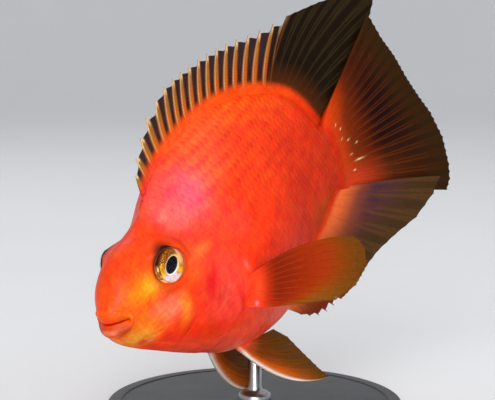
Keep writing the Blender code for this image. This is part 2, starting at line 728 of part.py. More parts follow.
def build():
    """Model the fish and its stand."""
    for old in list(bpy.data.objects):
        bpy.data.objects.remove(old)
    body = ring_body("body")
    lifted = ring_body("body_lifted", GILL_LIFT)
    head_parts = make_head(body, lifted)
    trunk_parts = make_trunk(body)
    discard(body, lifted)
    for thing in head_parts + trunk_parts:
        keep_largest(thing)
    eyes, paired = [], []
    for side, sign in (("left", -1), ("right", 1)):
        eyes.append(make_eye(side, sign))
        paired += [make_pectoral(side, sign), make_pelvic(side, sign)]
    median = [make_dorsal(), make_anal(), make_caudal()]
    pose_fish(head_parts + trunk_parts + eyes + median, paired)
    base = make_base()
    rod = make_rod(trunk_parts[0])
    for thing in head_parts:
        finish(thing, CHEEK, 0.35)
    for thing in trunk_parts:
        finish(thing, ORANGE, 0.35)
    for thing in eyes:
        finish(thing, IRIS, 0.08)
    for thing in paired:
        finish(thing, FIN_RED, 0.4)
    for thing in median:
        finish(thing, FIN_SMOKE, 0.4)
    finish(base, (0.02, 0.02, 0.022), 0.3)
    finish(rod, (0.55, 0.56, 0.58), 0.3, 1.0)


build()
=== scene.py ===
"""Blood parrot cichlid on a display stand: the looks.

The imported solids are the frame. One skin replaces the solids of flesh, scales lie over it as closed plates, and
finer fins and eyes replace the plain ones. Shapes are worked out on the straight, level fish in millimetres:
x runs back from the upper lip, y to the fish's right and z up. The pose then carries them to the frame's metres.
"""

import logging
import math
from dataclasses import dataclass, field
from enum import Enum
from typing import Callable

import bmesh
import bpy
import numpy as np
from mathutils import Matrix, Vector


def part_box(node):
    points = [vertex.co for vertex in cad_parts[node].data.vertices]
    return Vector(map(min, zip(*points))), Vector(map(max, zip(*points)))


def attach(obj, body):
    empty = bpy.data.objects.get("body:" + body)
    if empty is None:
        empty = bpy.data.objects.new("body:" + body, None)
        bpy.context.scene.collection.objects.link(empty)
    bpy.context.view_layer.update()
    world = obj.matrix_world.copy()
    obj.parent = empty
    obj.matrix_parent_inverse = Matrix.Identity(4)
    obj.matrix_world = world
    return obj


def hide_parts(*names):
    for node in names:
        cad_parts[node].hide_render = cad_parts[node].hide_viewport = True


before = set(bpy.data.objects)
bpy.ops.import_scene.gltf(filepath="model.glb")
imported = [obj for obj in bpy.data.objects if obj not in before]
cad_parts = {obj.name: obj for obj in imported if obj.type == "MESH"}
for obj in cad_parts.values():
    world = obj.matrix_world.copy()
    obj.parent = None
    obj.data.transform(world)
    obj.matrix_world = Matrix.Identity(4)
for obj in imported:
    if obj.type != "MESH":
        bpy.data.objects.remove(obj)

MM = 0.001
LOG = logging.getLogger("blood_parrot")

Array = np.ndarray
Colour = tuple[float, float, float]
Path = tuple[tuple[float, float], ...]
SIDEWAYS = np.array((0, 1.0, 0))


def paint(red: int, green: int, blue: int) -> Colour:
    """Turn a colour given in display steps from 0 to 255 into the linear values that shaders use.

    Args:
        red: Red step.
        green: Green step.
        blue: Blue step.

    Returns:
        The linear colour.
    """
    return tuple(((c / 255 + 0.055) / 1.055) ** 2.4 if c > 10 else c / 3294.6 for c in (red, green, blue))


def ramp(value: Array, low: float, high: float) -> Array:
    """Rise smoothly from 0 at low to 1 at high.

    Args:
        value: Values to read.
        low: Where the rise starts.
        high: Where the rise ends; it may be less than low.

    Returns:
        The smooth share for each value.
    """
    t = np.clip((np.asarray(value, float) - low) / (high - low), 0, 1)
    return t * t * (3 - 2 * t)


def bell(value: Array, width: float) -> Array:
    """Return a bell curve of a value, 1 at 0 and fading over a width."""
    return np.exp(-(np.asarray(value, float) / width) ** 2)


def mottle(place: Array, size: float, seed: int) -> Array:
    """Return a soft cloudy pattern between -1 and 1 over points in space.

    Args:
        place: Points, with the coordinates on the last axis.
        size: Size of the clouds in millimetres.
        seed: Seed of the pattern.

    Returns:
        One value for each point.
    """
    draw = np.random.default_rng(seed)
    total = np.zeros(place.shape[:-1])
    waves = 9
    for _ in range(waves):
        direction = draw.normal(size=3)
        direction /= np.linalg.norm(direction)
        pitch = size * draw.uniform(0.6, 1.6)
        total += np.sin(place @ direction * (2 * math.pi / pitch) + draw.uniform(0, 2 * math.pi))
    return np.clip(total / (waves * 0.45), -1, 1)


def distance_to(path: Path, x: Array, z: Array) -> tuple[Array, Array]:
    """Measure side-view points against a path.

    Args:
        path: Corner points (x, z) of the path.
        x: Distances behind the lip.
        z: Heights.

    Returns:
        The distance from the path, positive to the left of its run, and the share of the path at the near point.
    """
    points = np.array(path, float)
    lengths = np.linalg.norm(np.diff(points, axis=0), axis=1)
    start = np.concatenate(([0], np.cumsum(lengths)))
    best = np.full(np.shape(x), 1e9)
    signed = np.zeros(np.shape(x))
    share = np.zeros(np.shape(x))
    for (ax, az), (bx, bz), length, begun in zip(points, points[1:], lengths, start):
        dx, dz = (bx - ax) / length, (bz - az) / length
        along = np.clip((x - ax) * dx + (z - az) * dz, 0, length)
        off_x, off_z = x - ax - along * dx, z - az - along * dz
        away = np.hypot(off_x, off_z)
        near = away < best
        best = np.where(near, away, best)
        side = np.where(dx * off_z - dz * off_x >= 0, 1, -1)
        signed = np.where(near, away * side, signed)
        share = np.where(near, (begun + along) / start[-1], share)
    return signed, share


@dataclass(frozen=True)
class Line:
    """A smooth line through (distance behind the lip, value) points, read by the distance's square root."""

    points: Path

    def __call__(self, at: Array | float) -> Array:
        """Read the line at one or many distances."""
        x, value = np.array(self.points, float).T
        u = np.sqrt(x - x[0])
        secant = np.diff(value) / np.diff(u)
        slope = np.concatenate((secant[:1], (secant[:-1] + secant[1:]) / 2, secant[-1:]))
        v = np.sqrt(np.clip(np.asarray(at, float), x[0], x[-1]) - x[0])
        i = np.clip(np.searchsorted(u, v) - 1, 0, len(u) - 2)
        step = u[i + 1] - u[i]
        f = (v - u[i]) / step
        start = value[i] * (1 + 2 * f) * (1 - f) ** 2 + slope[i] * step * f * (1 - f) ** 2
        return start + value[i + 1] * f * f * (3 - 2 * f) + slope[i + 1] * step * f * f * (f - 1)


@dataclass(frozen=True)
class Pose:
    """Carries the straight fish to its place over the stand: a bend to its left, then pitch, roll and lift."""

    bend_start: float = 70
    bend_end: float = 155
    bend: float = math.radians(28)
    pivot: tuple[float, float, float] = (75, 0, 0)
    pitch: float = math.radians(15.2)
    roll: float = math.radians(-6.9)
    rod_touch: tuple[float, float, float] = (84, 0, -48.6)
    height: float = 78

    def turn(self) -> Array:
        """Return the pitch and roll as a 3 by 3 matrix."""
        return np.array((Matrix.Rotation(-self.pitch, 3, "Y") @ Matrix.Rotation(self.roll, 3, "X")))

    def bent(self, points: Array) -> Array:
        """Carry points of the straight fish onto its bent middle line."""
        x, y, z = np.moveaxis(np.asarray(points, float), -1, 0)
        radius = (self.bend_end - self.bend_start) / self.bend
        turn = (np.clip(x, self.bend_start, self.bend_end) - self.bend_start) / radius
        past = np.maximum(x - self.bend_end, 0)
        before = np.minimum(x - self.bend_start, 0)
        along = self.bend_start + before + radius * np.sin(turn) + past * np.cos(turn) + y * np.sin(turn)
        across = -radius * (1 - np.cos(turn)) - past * np.sin(turn) + y * np.cos(turn)
        return np.stack((along, across, z), axis=-1)

    def centre(self) -> Array:
        """Return the place of the pivot in the frame, in millimetres."""
        touch = (self.bent(np.array(self.rod_touch)) - self.pivot) @ self.turn().T
        return np.array((-touch[0], -touch[1], self.height))

    def placed(self, points: Array, stiff: bool = False) -> Array:
        """Carry points into the frame.

        Args:
            points: Points of the straight fish, in millimetres.
            stiff: True for the paired fins, which the bend leaves alone.

        Returns:
            The points in metres.
        """
        points = np.asarray(points, float)
        carried = points if stiff else self.bent(points)
        return ((carried - self.pivot) @ self.turn().T + self.centre()) * MM


@dataclass(frozen=True)
class Orbit:
    """Where an eye sits, and the rim that the skin forms round it."""

    centre: tuple[float, float, float] = (27.7, 9.9, 5.4)
    radius: float = 7.4
    forward: float = math.radians(12)
    rise: float = 3.9
    slant: float = 1.2
    rim: float = 6.8
    fade: float = 2.6
    depth: float = 3.0
    sunk: float = 1.6

    def axes(self) -> tuple[Array, Array]:
        """Return the eye's outward axis and its rearward direction, for the right side."""
        outward = np.array((-math.sin(self.forward), math.cos(self.forward), 0))
        rearward = np.array((math.cos(self.forward), math.sin(self.forward), 0))
        return outward, rearward

    def measure(self, points: Array) -> tuple[Array, Array, Array, Array]:
        """Measure points against the eye.

        Args:
            points: Points of the right half of the fish.

        Returns:
            Height along the eye's axis, distance from the axis, and the offsets to the rear and upward.
        """
        outward, rearward = self.axes()
        offset = points - np.array(self.centre)
        along = offset @ outward
        rear, up = offset @ rearward, offset[..., 2]
        return along, np.hypot(rear, up), rear, up

    def shape(self, points: Array) -> Array:
        """Draw the skin onto the slanted rim, and under the eyeball inside it.

        Args:
            points: Points of the right half of the skin.

        Returns:
            The moved points.
        """
        outward, _ = self.axes()
        along, away, rear, _ = self.measure(points)
        rise = self.rise + self.slant * rear / np.maximum(away, 1)
        pull = bell(np.maximum(away - self.rim, 0), self.fade)
        pull *= np.clip((along + self.depth) / self.depth, 0, 1)
        target = along + pull * (rise - along)
        opening = np.sqrt(np.maximum(self.radius ** 2 - rise ** 2, 0))
        inside = ramp(away, opening + 0.3, opening - 0.4) * (along > 0)
        target = target + inside * (self.sunk - target)
        return points + (target - along)[..., None] * outward


@dataclass(frozen=True)
class Crease:
    """A line on the head where the skin folds: a groove, and a step where one plate lies over another."""

    path: Path
    groove: float
    width: float
    step: float = 0.0
    spread: float = 6.0
    fade: float = 0.12

    def relief(self, x: Array, z: Array) -> Array:
        """Return how far the skin stands out at side-view points.

        Args:
            x: Distances behind the lip.
            z: Heights.

        Returns:
            The relief in millimetres.
        """
        signed, share = distance_to(self.path, x, z)
        ends = ramp(share, 0, self.fade) * ramp(share, 1, 1 - self.fade)
        front = ramp(signed, 0.25, -0.25) * np.exp(-np.maximum(-signed, 0) / self.spread)
        return ends * (self.step * front - self.groove * bell(signed, self.width))


@dataclass(frozen=True)
class Swelling:
    """A soft rise or hollow of the skin, oval in side view."""

    centre: tuple[float, float]
    reach: tuple[float, float]
    height: float

    def relief(self, x: Array, z: Array) -> Array:
        """Return how far the skin stands out at side-view points."""
        dx, dz = (x - self.centre[0]) / self.reach[0], (z - self.centre[1]) / self.reach[1]
        return self.height * np.exp(-dx * dx - dz * dz)


GILL_EDGE = ((45.4, 13.2), (49.5, 8.5), (52.8, 0.6), (54, -6.5), (54.4, -13), (53.6, -19), (51.9, -24), (49, -28.4),
             (45.8, -33), (43.5, -37), (42, -40))
SCALE_FRONT = ((26, 24), (33, 19), (40, 15), (46, 12.4), (49.5, 8.5), (52.8, 0.6), (54, -6.5), (54.4, -13),
               (53.6, -19), (51.9, -24), (49, -28.4), (46.4, -33), (44.6, -37), (43, -46))


@dataclass(frozen=True)
class Body:
    """The straight fish's body: its lines in side view and from above, and the relief of the head."""

    length: float = 147
    back: Line = Line(((0, -3.4), (1.5, 0.2), (4, 4.6), (8, 9.2), (13, 13), (19, 15.8), (25, 17.2), (29, 18.6),
                       (33, 21.4), (37, 25.4), (41, 29.6), (47, 33.8), (60, 38.9), (72, 41.9), (86, 44), (98, 44.3),
                       (110, 43), (121, 40), (131, 35.4), (137, 29.2), (141, 22.4), (144, 18.2), (147, 17.4)))
    belly: Line = Line(((0, -8.2), (1, -10), (3.5, -13.2), (8, -17), (14, -20.8), (24, -26.4), (36, -33),
                        (47, -38.6), (60, -44.6), (73, -47.8), (85, -48.6), (96, -47.8), (104, -45.2),
                        (112, -39.6), (121, -31.4), (130, -24.4), (138, -17.4), (142, -13.4), (147, -11.2)))
    half_width: Line = Line(((0, 6.3), (1, 7.1), (3, 8.3), (6, 9.4), (10, 11), (15, 12.9), (20, 14.5), (28, 16.7),
                             (36, 18.6), (48, 21.4), (60, 23.2), (72, 24), (84, 23.8), (96, 22), (108, 18.6),
                             (120, 14.2), (131, 10.2), (139, 7.4), (147, 5.2)))
    widest_level: Line = Line(((0, -5.7), (6, -5.8), (15, -7.5), (28, -9.5), (42, -10), (60, -8), (80, -4), (100, 0),
                               (125, 3), (147, 3)))
    back_power: Line = Line(((0, 2), (15, 2), (24, 1.85), (29, 1.9), (33, 2.2), (38, 2.2), (42, 1.85), (47, 1.65),
                             (60, 1.6), (100, 1.8), (147, 2)))
    back_round: Line = Line(((0, 0.5), (18, 0.52), (25, 0.56), (29, 0.64), (33, 0.92), (37.5, 1.3), (41, 1.08),
                             (45.5, 0.88), (52, 0.76), (60, 0.7), (100, 0.66), (135, 0.62), (147, 0.5)))
    belly_power: float = 2.1
    belly_round: float = 0.52
    side_sweep: Line = Line(((0, 5.6), (3, 4.2), (8, 2.4), (16, 0.8), (24, 0.1), (30, 0), (40, 0), (147, 0)))
    lip_swell: Line = Line(((0, 0.2), (0.7, 0.7), (1.7, 0.25), (2.6, -0.35), (4.5, 0), (6, 0), (10, 0), (147, 0)))
    orbit: Orbit = Orbit()
    creases: tuple[Crease, ...] = (
        Crease(GILL_EDGE, 0.34, 0.9, 0.6, 10),
        Crease(((43.6, 10), (40.2, 5.5), (36.8, -0.5), (34, -7), (30.8, -13), (27.5, -18.5), (24, -23)),
               0.24, 1.1, 0.2),
        Crease(((52, -13), (46, -16.5), (40, -21), (36, -26)), 0.1, 1.1, 0.1, 3, 0.3),
        Crease(((15, -1), (18, -1.7), (21, -2.4), (25, -2.9), (28, -2.4), (30.4, -0.6), (32, 2.6)), 0.3, 0.75, 0.35, 4),
        Crease(((1.4, -0.7), (2.6, -0.9), (3.9, -1.7), (5, -3.4), (5.6, -5.6)), 0.26, 0.55, 0.2, 1.6, 0.2),
        Crease(((5.9, -7.4), (5.2, -8.8), (3.4, -10.7), (1.2, -11)), 0.24, 0.6, 0.2, 1.6, 0.2),
        Crease(((5.2, -5.6), (6.4, -6.6), (7.4, -8.4), (7.6, -10.4)), 0.3, 0.6, 0.0, 2, 0.3),
        Crease(((43, -34), (35.8, -29), (24.8, -23.3), (15, -18.2), (11, -16)), 0.34, 0.8, 0.3, 4),
        Crease(((17, -13.5), (14, -14.6), (11, -14.6), (8.4, -13)), 0.18, 0.7, 0.1, 3, 0.3),
    )
    swellings: tuple[Swelling, ...] = (
        Swelling((20, -8.5), (8, 6.5), 0.7),
        Swelling((56.5, -18), (3.5, 5.5), 0.9),
        Swelling((11, 2), (6, 5), 0.35),
        Swelling((38, -8), (6, 10), 0.35),
        Swelling((15.5, 6.5), (1.3, 1.3), 0.08),
        Swelling((15.5, 6.5), (0.6, 0.55), -0.55),
        Swelling((28, -4.6), (2.2, 2.0), -0.25),
    )
    coat_depth: float = 0.22

    def ring(self, x: Array, angle: Array, wide: Array | float = 1, high: Array | float = 1) -> Array:
        """Return points of the plain body.

        Args:
            x: Distances behind the lip.
            angle: Angles round the body, from 0 at the back to pi at the belly.
            wide: Share of the width, for the mouth's inner rings.
            high: Share of the height, for the mouth's inner rings.

        Returns:
            Points of the right half.
        """
        rise, side = np.cos(angle), np.sin(angle)
        t = np.abs(rise)
        upper = rise >= 0
        swell = self.lip_swell(x)
        above = np.clip(1 - t ** self.back_power(x), 0, None) ** self.back_round(x)
        below = np.clip(1 - t ** self.belly_power, 0, None) ** self.belly_round
        part = np.where(upper, above, below) * (side >= 0)
        level = self.widest_level(x)
        reach = np.where(upper, self.back(x) + swell - level, level - self.belly(x) + swell) * high
        y = (self.half_width(x) + swell) * wide * part
        return np.stack((x + self.side_sweep(x) * part ** 2, y, level + np.sign(rise) * t * reach), axis=-1)

    def side_at(self, x: float, z: float) -> float:
        """Return the body's half width at a point of the side view."""
        level = float(self.widest_level(x))
        if z >= level:
            t = min(1, (z - level) / (float(self.back(x)) - level))
            return float(self.half_width(x) * (1 - t ** self.back_power(x)) ** self.back_round(x))
        t = min(1, (level - z) / (level - float(self.belly(x))))
        return float(self.half_width(x) * (1 - t ** self.belly_power) ** self.belly_round)

    def belly_at(self, x: float, y: float) -> float:
        """Return the height of the underside at a distance y from the middle plane."""
        level = float(self.widest_level(x))
        part = min(1, abs(y) / float(self.half_width(x)))
        t = (1 - part ** (1 / self.belly_round)) ** (1 / self.belly_power)
        return level - (level - float(self.belly(x))) * t

    def relief(self, points: Array) -> Array:
        """Return how far the head's folds and swellings stand out at points of the right half."""
        x, y, z = np.moveaxis(points, -1, 0)
        flank = ramp(y, 1.5, 5)
        total = sum(form.relief(x, z) for form in self.creases + self.swellings)
        return total * flank

    def scaly(self, points: Array) -> Array:
        """Return 1 where scales cover the skin and 0 on the bare head."""
        x, _, z = np.moveaxis(points, -1, 0)
        signed, _ = distance_to(SCALE_FRONT, x, z)
        return ramp(signed, -0.2, 1.2)


@dataclass
class HalfSkin:
    """A fine grid of the right half of the skin, with its normals and its lengths round the body."""

    body: Body
    around: int = 150
    x: Array = field(init=False)
    points: Array = field(init=False)
    normals: Array = field(init=False)

    MOUTH = ((4.2, 0.84, 0.04), (2.6, 0.87, 0.05), (1.7, 0.9, 0.06), (1.25, 0.92, 0.08), (1.0, 0.935, 0.13),
             (0.8, 0.95, 0.24), (0.6, 0.965, 0.4), (0.4, 0.98, 0.58), (0.22, 0.99, 0.76), (0.08, 0.996, 0.91))

    def __post_init__(self) -> None:
        """Work out the grid."""
        body = self.body
        stations = [0.0]
        while stations[-1] < body.length:
            at = stations[-1]
            stations.append(at + float(np.interp(at, (0, 6, 20, 60, 147), (0.16, 0.3, 0.42, 0.62, 0.9))))
        outer = np.array(stations) * body.length / stations[-1]
        angle = np.linspace(0, math.pi, self.around + 1)
        inner = np.array(self.MOUTH)
        mouth = np.stack([body.ring(np.full_like(angle, 0.0), angle, wide, high) + (depth, 0, 0)
                          for depth, wide, high in inner])
        grid_x, grid_angle = np.meshgrid(outer, angle, indexing="ij")
        skin = body.ring(grid_x, grid_angle)
        self.x = np.concatenate((np.full(len(inner), -1.0), outer))
        plain = np.concatenate((mouth, skin))
        plain = body.orbit.shape(plain)
        normals = self.face_out(plain)
        relief = body.relief(plain) * (self.x >= 0)[:, None]
        lowered = body.coat_depth * body.scaly(plain) * (self.x >= 0)[:, None]
        self.points = plain + normals * (relief - lowered)[..., None]
        self.points[:, (0, -1), 1] = 0
        self.normals = self.face_out(self.points)

    @staticmethod
    def face_out(points: Array) -> Array:
        """Return the outward unit normals of a half grid."""
        mirrored = np.concatenate((points[:, 1:2] * (1, -1, 1), points, points[:, -2:-1] * (1, -1, 1)), axis=1)
        along = np.gradient(mirrored, axis=0)[:, 1:-1]
        around = np.gradient(mirrored, axis=1)[:, 1:-1]
        normal = np.cross(along, around)
        return normal / np.maximum(np.linalg.norm(normal, axis=-1, keepdims=True), 1e-9)

    def arcs(self) -> Array:
        """Return the length round the skin above its middle column, for each row and column."""
        steps = np.linalg.norm(np.diff(self.points, axis=1), axis=-1)
        length = np.concatenate((np.zeros((len(steps), 1)), np.cumsum(steps, axis=1)), axis=1)
        return length[:, self.around // 2][:, None] - length

    def column_at(self, arcs: Array, row: Array, arc: Array) -> Array:
        """Return the columns at places told by row and length round the body.

        Args:
            arcs: The table of lengths.
            row: Rows, with fractions.
            arc: Lengths above the middle column.

        Returns:
            The columns, with fractions.
        """
        i = np.clip(row.astype(int), 0, len(arcs) - 2)
        f = (row - i)[:, None]
        lengths = arcs[i] * (1 - f) + arcs[i + 1] * f
        above = np.clip((lengths > arc[:, None]).sum(axis=1) - 1, 0, self.around - 1)
        pick = np.arange(len(row))
        start, end = lengths[pick, above], lengths[pick, above + 1]
        return above + np.clip((start - arc) / np.maximum(start - end, 1e-6), 0, 1)

    def read(self, row: Array, column: Array) -> tuple[Array, Array]:
        """Read places and normals between the grid's points.

        Args:
            row: Rows, with fractions.
            column: Columns, with fractions.

        Returns:
            The places and the normals.
        """
        i = np.clip(row.astype(int), 0, len(self.x) - 2)
        j = np.clip(column.astype(int), 0, self.around - 1)
        f, g = (row - i)[..., None], (column - j)[..., None]
        out = []
        for grid in (self.points, self.normals):
            low = grid[i, j] * (1 - g) + grid[i, j + 1] * g
            high = grid[i + 1, j] * (1 - g) + grid[i + 1, j + 1] * g
            out.append(low * (1 - f) + high * f)
        return out[0], out[1] / np.linalg.norm(out[1], axis=-1, keepdims=True)


@dataclass(frozen=True)
class Patch:
    """A soft-edged patch of colour on both flanks, oval in side view."""

    centre: tuple[float, float]
    reach: tuple[float, float]
    colour: Colour
    strength: float
    turn: float = 0.0

    def cover(self, x: Array, z: Array) -> Array:
        """Return the patch's share of the colour at side-view points."""
        c, s = math.cos(math.radians(self.turn)), math.sin(math.radians(self.turn))
        dx, dz = x - self.centre[0], z - self.centre[1]
        u, v = (dx * c + dz * s) / self.reach[0], (dz * c - dx * s) / self.reach[1]
        return self.strength * np.exp(-(u * u + v * v) ** 1.3)


@dataclass(frozen=True)
class Markings:
    """The colours of skin and scales alike, over the straight fish, with some painted light and shade among them."""

    flank: Colour = paint(250, 62, 28)
    patches: tuple[Patch, ...] = (
        Patch((95, 39), (66, 11), paint(252, 86, 28), 0.85),
        Patch((64, 30), (24, 9), paint(253, 104, 68), 0.6, 25),
        Patch((84, 33), (22, 4), paint(238, 44, 36), 0.5),
        Patch((92, 16), (20, 10), paint(242, 72, 26), 0.55),
        # The underside's own pinker colour, lifted further by painted light where it lies in shade.
        Patch((72, -44), (60, 15), paint(255, 94, 68), 0.85),
        Patch((118, -8), (26, 20), paint(206, 54, 20), 0.75),
        Patch((126, 14), (20, 22), paint(206, 52, 16), 0.7),
        Patch((147, 2), (15, 22), paint(172, 50, 14), 0.85),
        Patch((132, -15), (10, 8), paint(178, 72, 26), 0.7),
        Patch((18, 8), (26, 16), paint(246, 80, 8), 0.95),
        Patch((6, -2), (8, 9), paint(248, 84, 14), 0.6),
        # The nape's own pink and magenta, with a painted sheen over them, palest in the whitish patch.
        Patch((46, 22), (14, 12), paint(252, 90, 88), 0.6, 35),
        Patch((50.5, 23), (9, 6.4), paint(253, 96, 122), 0.62, 35),
        Patch((42, 18), (6, 4.4), paint(252, 118, 112), 0.7, 30),
        Patch((62, 8), (9, 9), paint(251, 74, 60), 0.5),
        Patch((45, -10), (12, 16), paint(250, 76, 62), 0.9),
        Patch((38.4, -8), (2.6, 6), paint(228, 20, 40), 0.7, -12),
        Patch((42, -4), (1.3, 5), paint(226, 20, 36), 0.65, -25),
        Patch((44.5, -14), (0.9, 4), paint(252, 110, 96), 0.35, -34),
        Patch((47.4, -9), (0.8, 3), paint(252, 104, 88), 0.3, -10),
        Patch((41.6, -12), (0.6, 4), paint(216, 30, 32), 0.4, -18),
        Patch((58.6, -8.4), (1.0, 2.6), paint(252, 128, 112), 0.4, 20),
        Patch((58.5, -43), (4, 2.6), paint(250, 176, 150), 0.6),
        # Painted light on the throat and in the hollow below the lower head crease, lifting the underside's shade.
        Patch((42, -36), (14, 6), paint(252, 96, 70), 0.7),
        Patch((28, -28), (16, 4.4), paint(255, 96, 66), 0.7, -27),
        Patch((52.6, -20), (1.4, 9), paint(206, 30, 30), 0.6, 14),
        Patch((40, 4.4), (6, 1.8), paint(252, 122, 60), 0.6, 15),
        Patch((35, 2), (5, 6), paint(251, 98, 46), 0.7),
        Patch((13, 1.2), (9, 5.4), paint(251, 138, 30), 0.7, 24),
        Patch((14.6, 2.6), (5, 2.6), paint(253, 178, 48), 0.55, 20),
        Patch((19.4, 1.8), (4.4, 1.5), paint(255, 170, 60), 0.6, 4),
        Patch((6, -4.5), (4.4, 2.2), paint(250, 120, 20), 0.6, -20),
        Patch((18.4, -7.4), (6.8, 5), paint(244, 128, 92), 0.92),
        Patch((25.2, -10.6), (2.6, 5.4), paint(253, 150, 50), 0.75, -14),
        Patch((22.4, -2.7), (8, 0.9), paint(226, 78, 30), 0.8, 2),
        Patch((12.6, -2.4), (3.4, 0.8), paint(230, 86, 30), 0.6, 62),
        Patch((11, -10.4), (6.4, 3.4), paint(246, 128, 40), 0.8, -32),
        Patch((7.6, -13.8), (6.4, 3.6), paint(226, 160, 56), 0.9, -32),
        Patch((9.8, -16.2), (2, 1), paint(236, 52, 50), 0.7, -25),
        # Painted pinkish-white highlight on the jaw fold, beside its red spot.
        Patch((12.4, -16.9), (1.3, 0.6), paint(250, 140, 130), 0.55, -25),
        Patch((26, -22), (12, 1.1), paint(232, 60, 50), 0.7, -27),
        Patch((2.6, -2.6), (3.6, 1.7), paint(250, 100, 16), 0.7, -20),
        # Painted shade along the mouth's slit between the lips.
        Patch((1.6, -5.4), (5, 0.7), paint(220, 66, 24), 0.6, -5),
        Patch((2.2, -8.6), (4, 2.2), paint(192, 76, 28), 0.95, -20),
        # Painted highlight on the front of the lower lip.
        Patch((0.5, -8.6), (0.9, 0.9), paint(236, 140, 116), 0.75),
        Patch((5, -4.1), (3, 0.8), paint(240, 128, 48), 0.5, -24),
    )
    mottling: float = 0.1
    blotches: float = 0.34
    veil: float = 0.012
    head_shade: float = 0.81

    def tint(self, points: Array, orbit: Orbit) -> Array:
        """Return the colour at points of the right half.

        Args:
            points: Places on the straight fish.
            orbit: The eye's place, for the painted shade of the socket, deepest in front of it.

        Returns:
            Linear colours.
        """
        x, _, z = np.moveaxis(points, -1, 0)
        colour = np.broadcast_to(np.array(self.flank), points.shape).copy()
        for patch in self.patches:
            share = patch.cover(x, z)[..., None]
            colour = colour * (1 - share) + np.array(patch.colour) * share
        cloud = mottle(points, 9, 3) + 0.6 * mottle(points, 3.6, 4)
        colour = colour * (1 + self.mottling * cloud)[..., None]
        speckle = 0.5 * mottle(points, 4.2, 6) + 0.6 * mottle(points, 1.6, 7)
        colour[..., 1] *= 1 + self.blotches * speckle
        # Painted shade: the head's colour is lowered to offset the stronger light that falls on it.
        colour *= (self.head_shade + (1 - self.head_shade) * ramp(x, 44, 58))[..., None]
        colour = np.maximum(colour - np.array((0, self.veil, self.veil)), 0.002)
        # Painted shade in the eye's socket: deepest at its upper front, with a thin band all round the opening.
        _, away, rear, up = orbit.measure(points)
        socket_shade_side = ramp((-rear * 0.82 + up * 0.57) / np.maximum(away, 0.1), -0.05, 0.8)
        rim = ramp(away, 9.0, 7.0) * socket_shade_side * 0.95 + ramp(away, 7.0, 6.4) * 0.3
        rim = np.clip(rim, 0, 1)[..., None] * (points[..., 1:2] > 3)
        return np.clip(colour * (1 - rim) + np.array(paint(66, 22, 4)) * rim, 0, 1)


class Socket:
    """One value of a shader, which Python's operators extend with Math nodes."""

    def __init__(self, graph: "Graph", socket: bpy.types.NodeSocket) -> None:
        """Wrap a socket of a graph."""
        self.graph = graph
        self.socket = socket

    def _math(self, operation: str, *values: "Socket | float", swap: bool = False) -> "Socket":
        """Add a Math node of this value and others, swapped when the operator is reflected."""
        order = (*values, self) if swap else (self, *values)
        return self.graph.add("ShaderNodeMath", {"operation": operation}, dict(enumerate(order)))

    def __add__(self, other: "Socket | float") -> "Socket":
        """Add."""
        return self._math("ADD", other)

    def __sub__(self, other: "Socket | float") -> "Socket":
        """Take away."""
        return self._math("SUBTRACT", other)

    def __rsub__(self, other: "Socket | float") -> "Socket":
        """Take this from another."""
        return self._math("SUBTRACT", other, swap=True)

    def __mul__(self, other: "Socket | float") -> "Socket":
        """Multiply."""
        return self._math("MULTIPLY", other)

    __radd__ = __add__
    __rmul__ = __mul__

    def sine(self) -> "Socket":
        """Return the sine."""
        return self._math("SINE")

    def step(self, low: float, high: float) -> "Socket":
        """Rise smoothly from 0 at low to 1 at high."""
        settings = {"interpolation_type": "SMOOTHSTEP"}
        return self.graph.add("ShaderNodeMapRange", settings, {0: self, 1: low, 2: high})


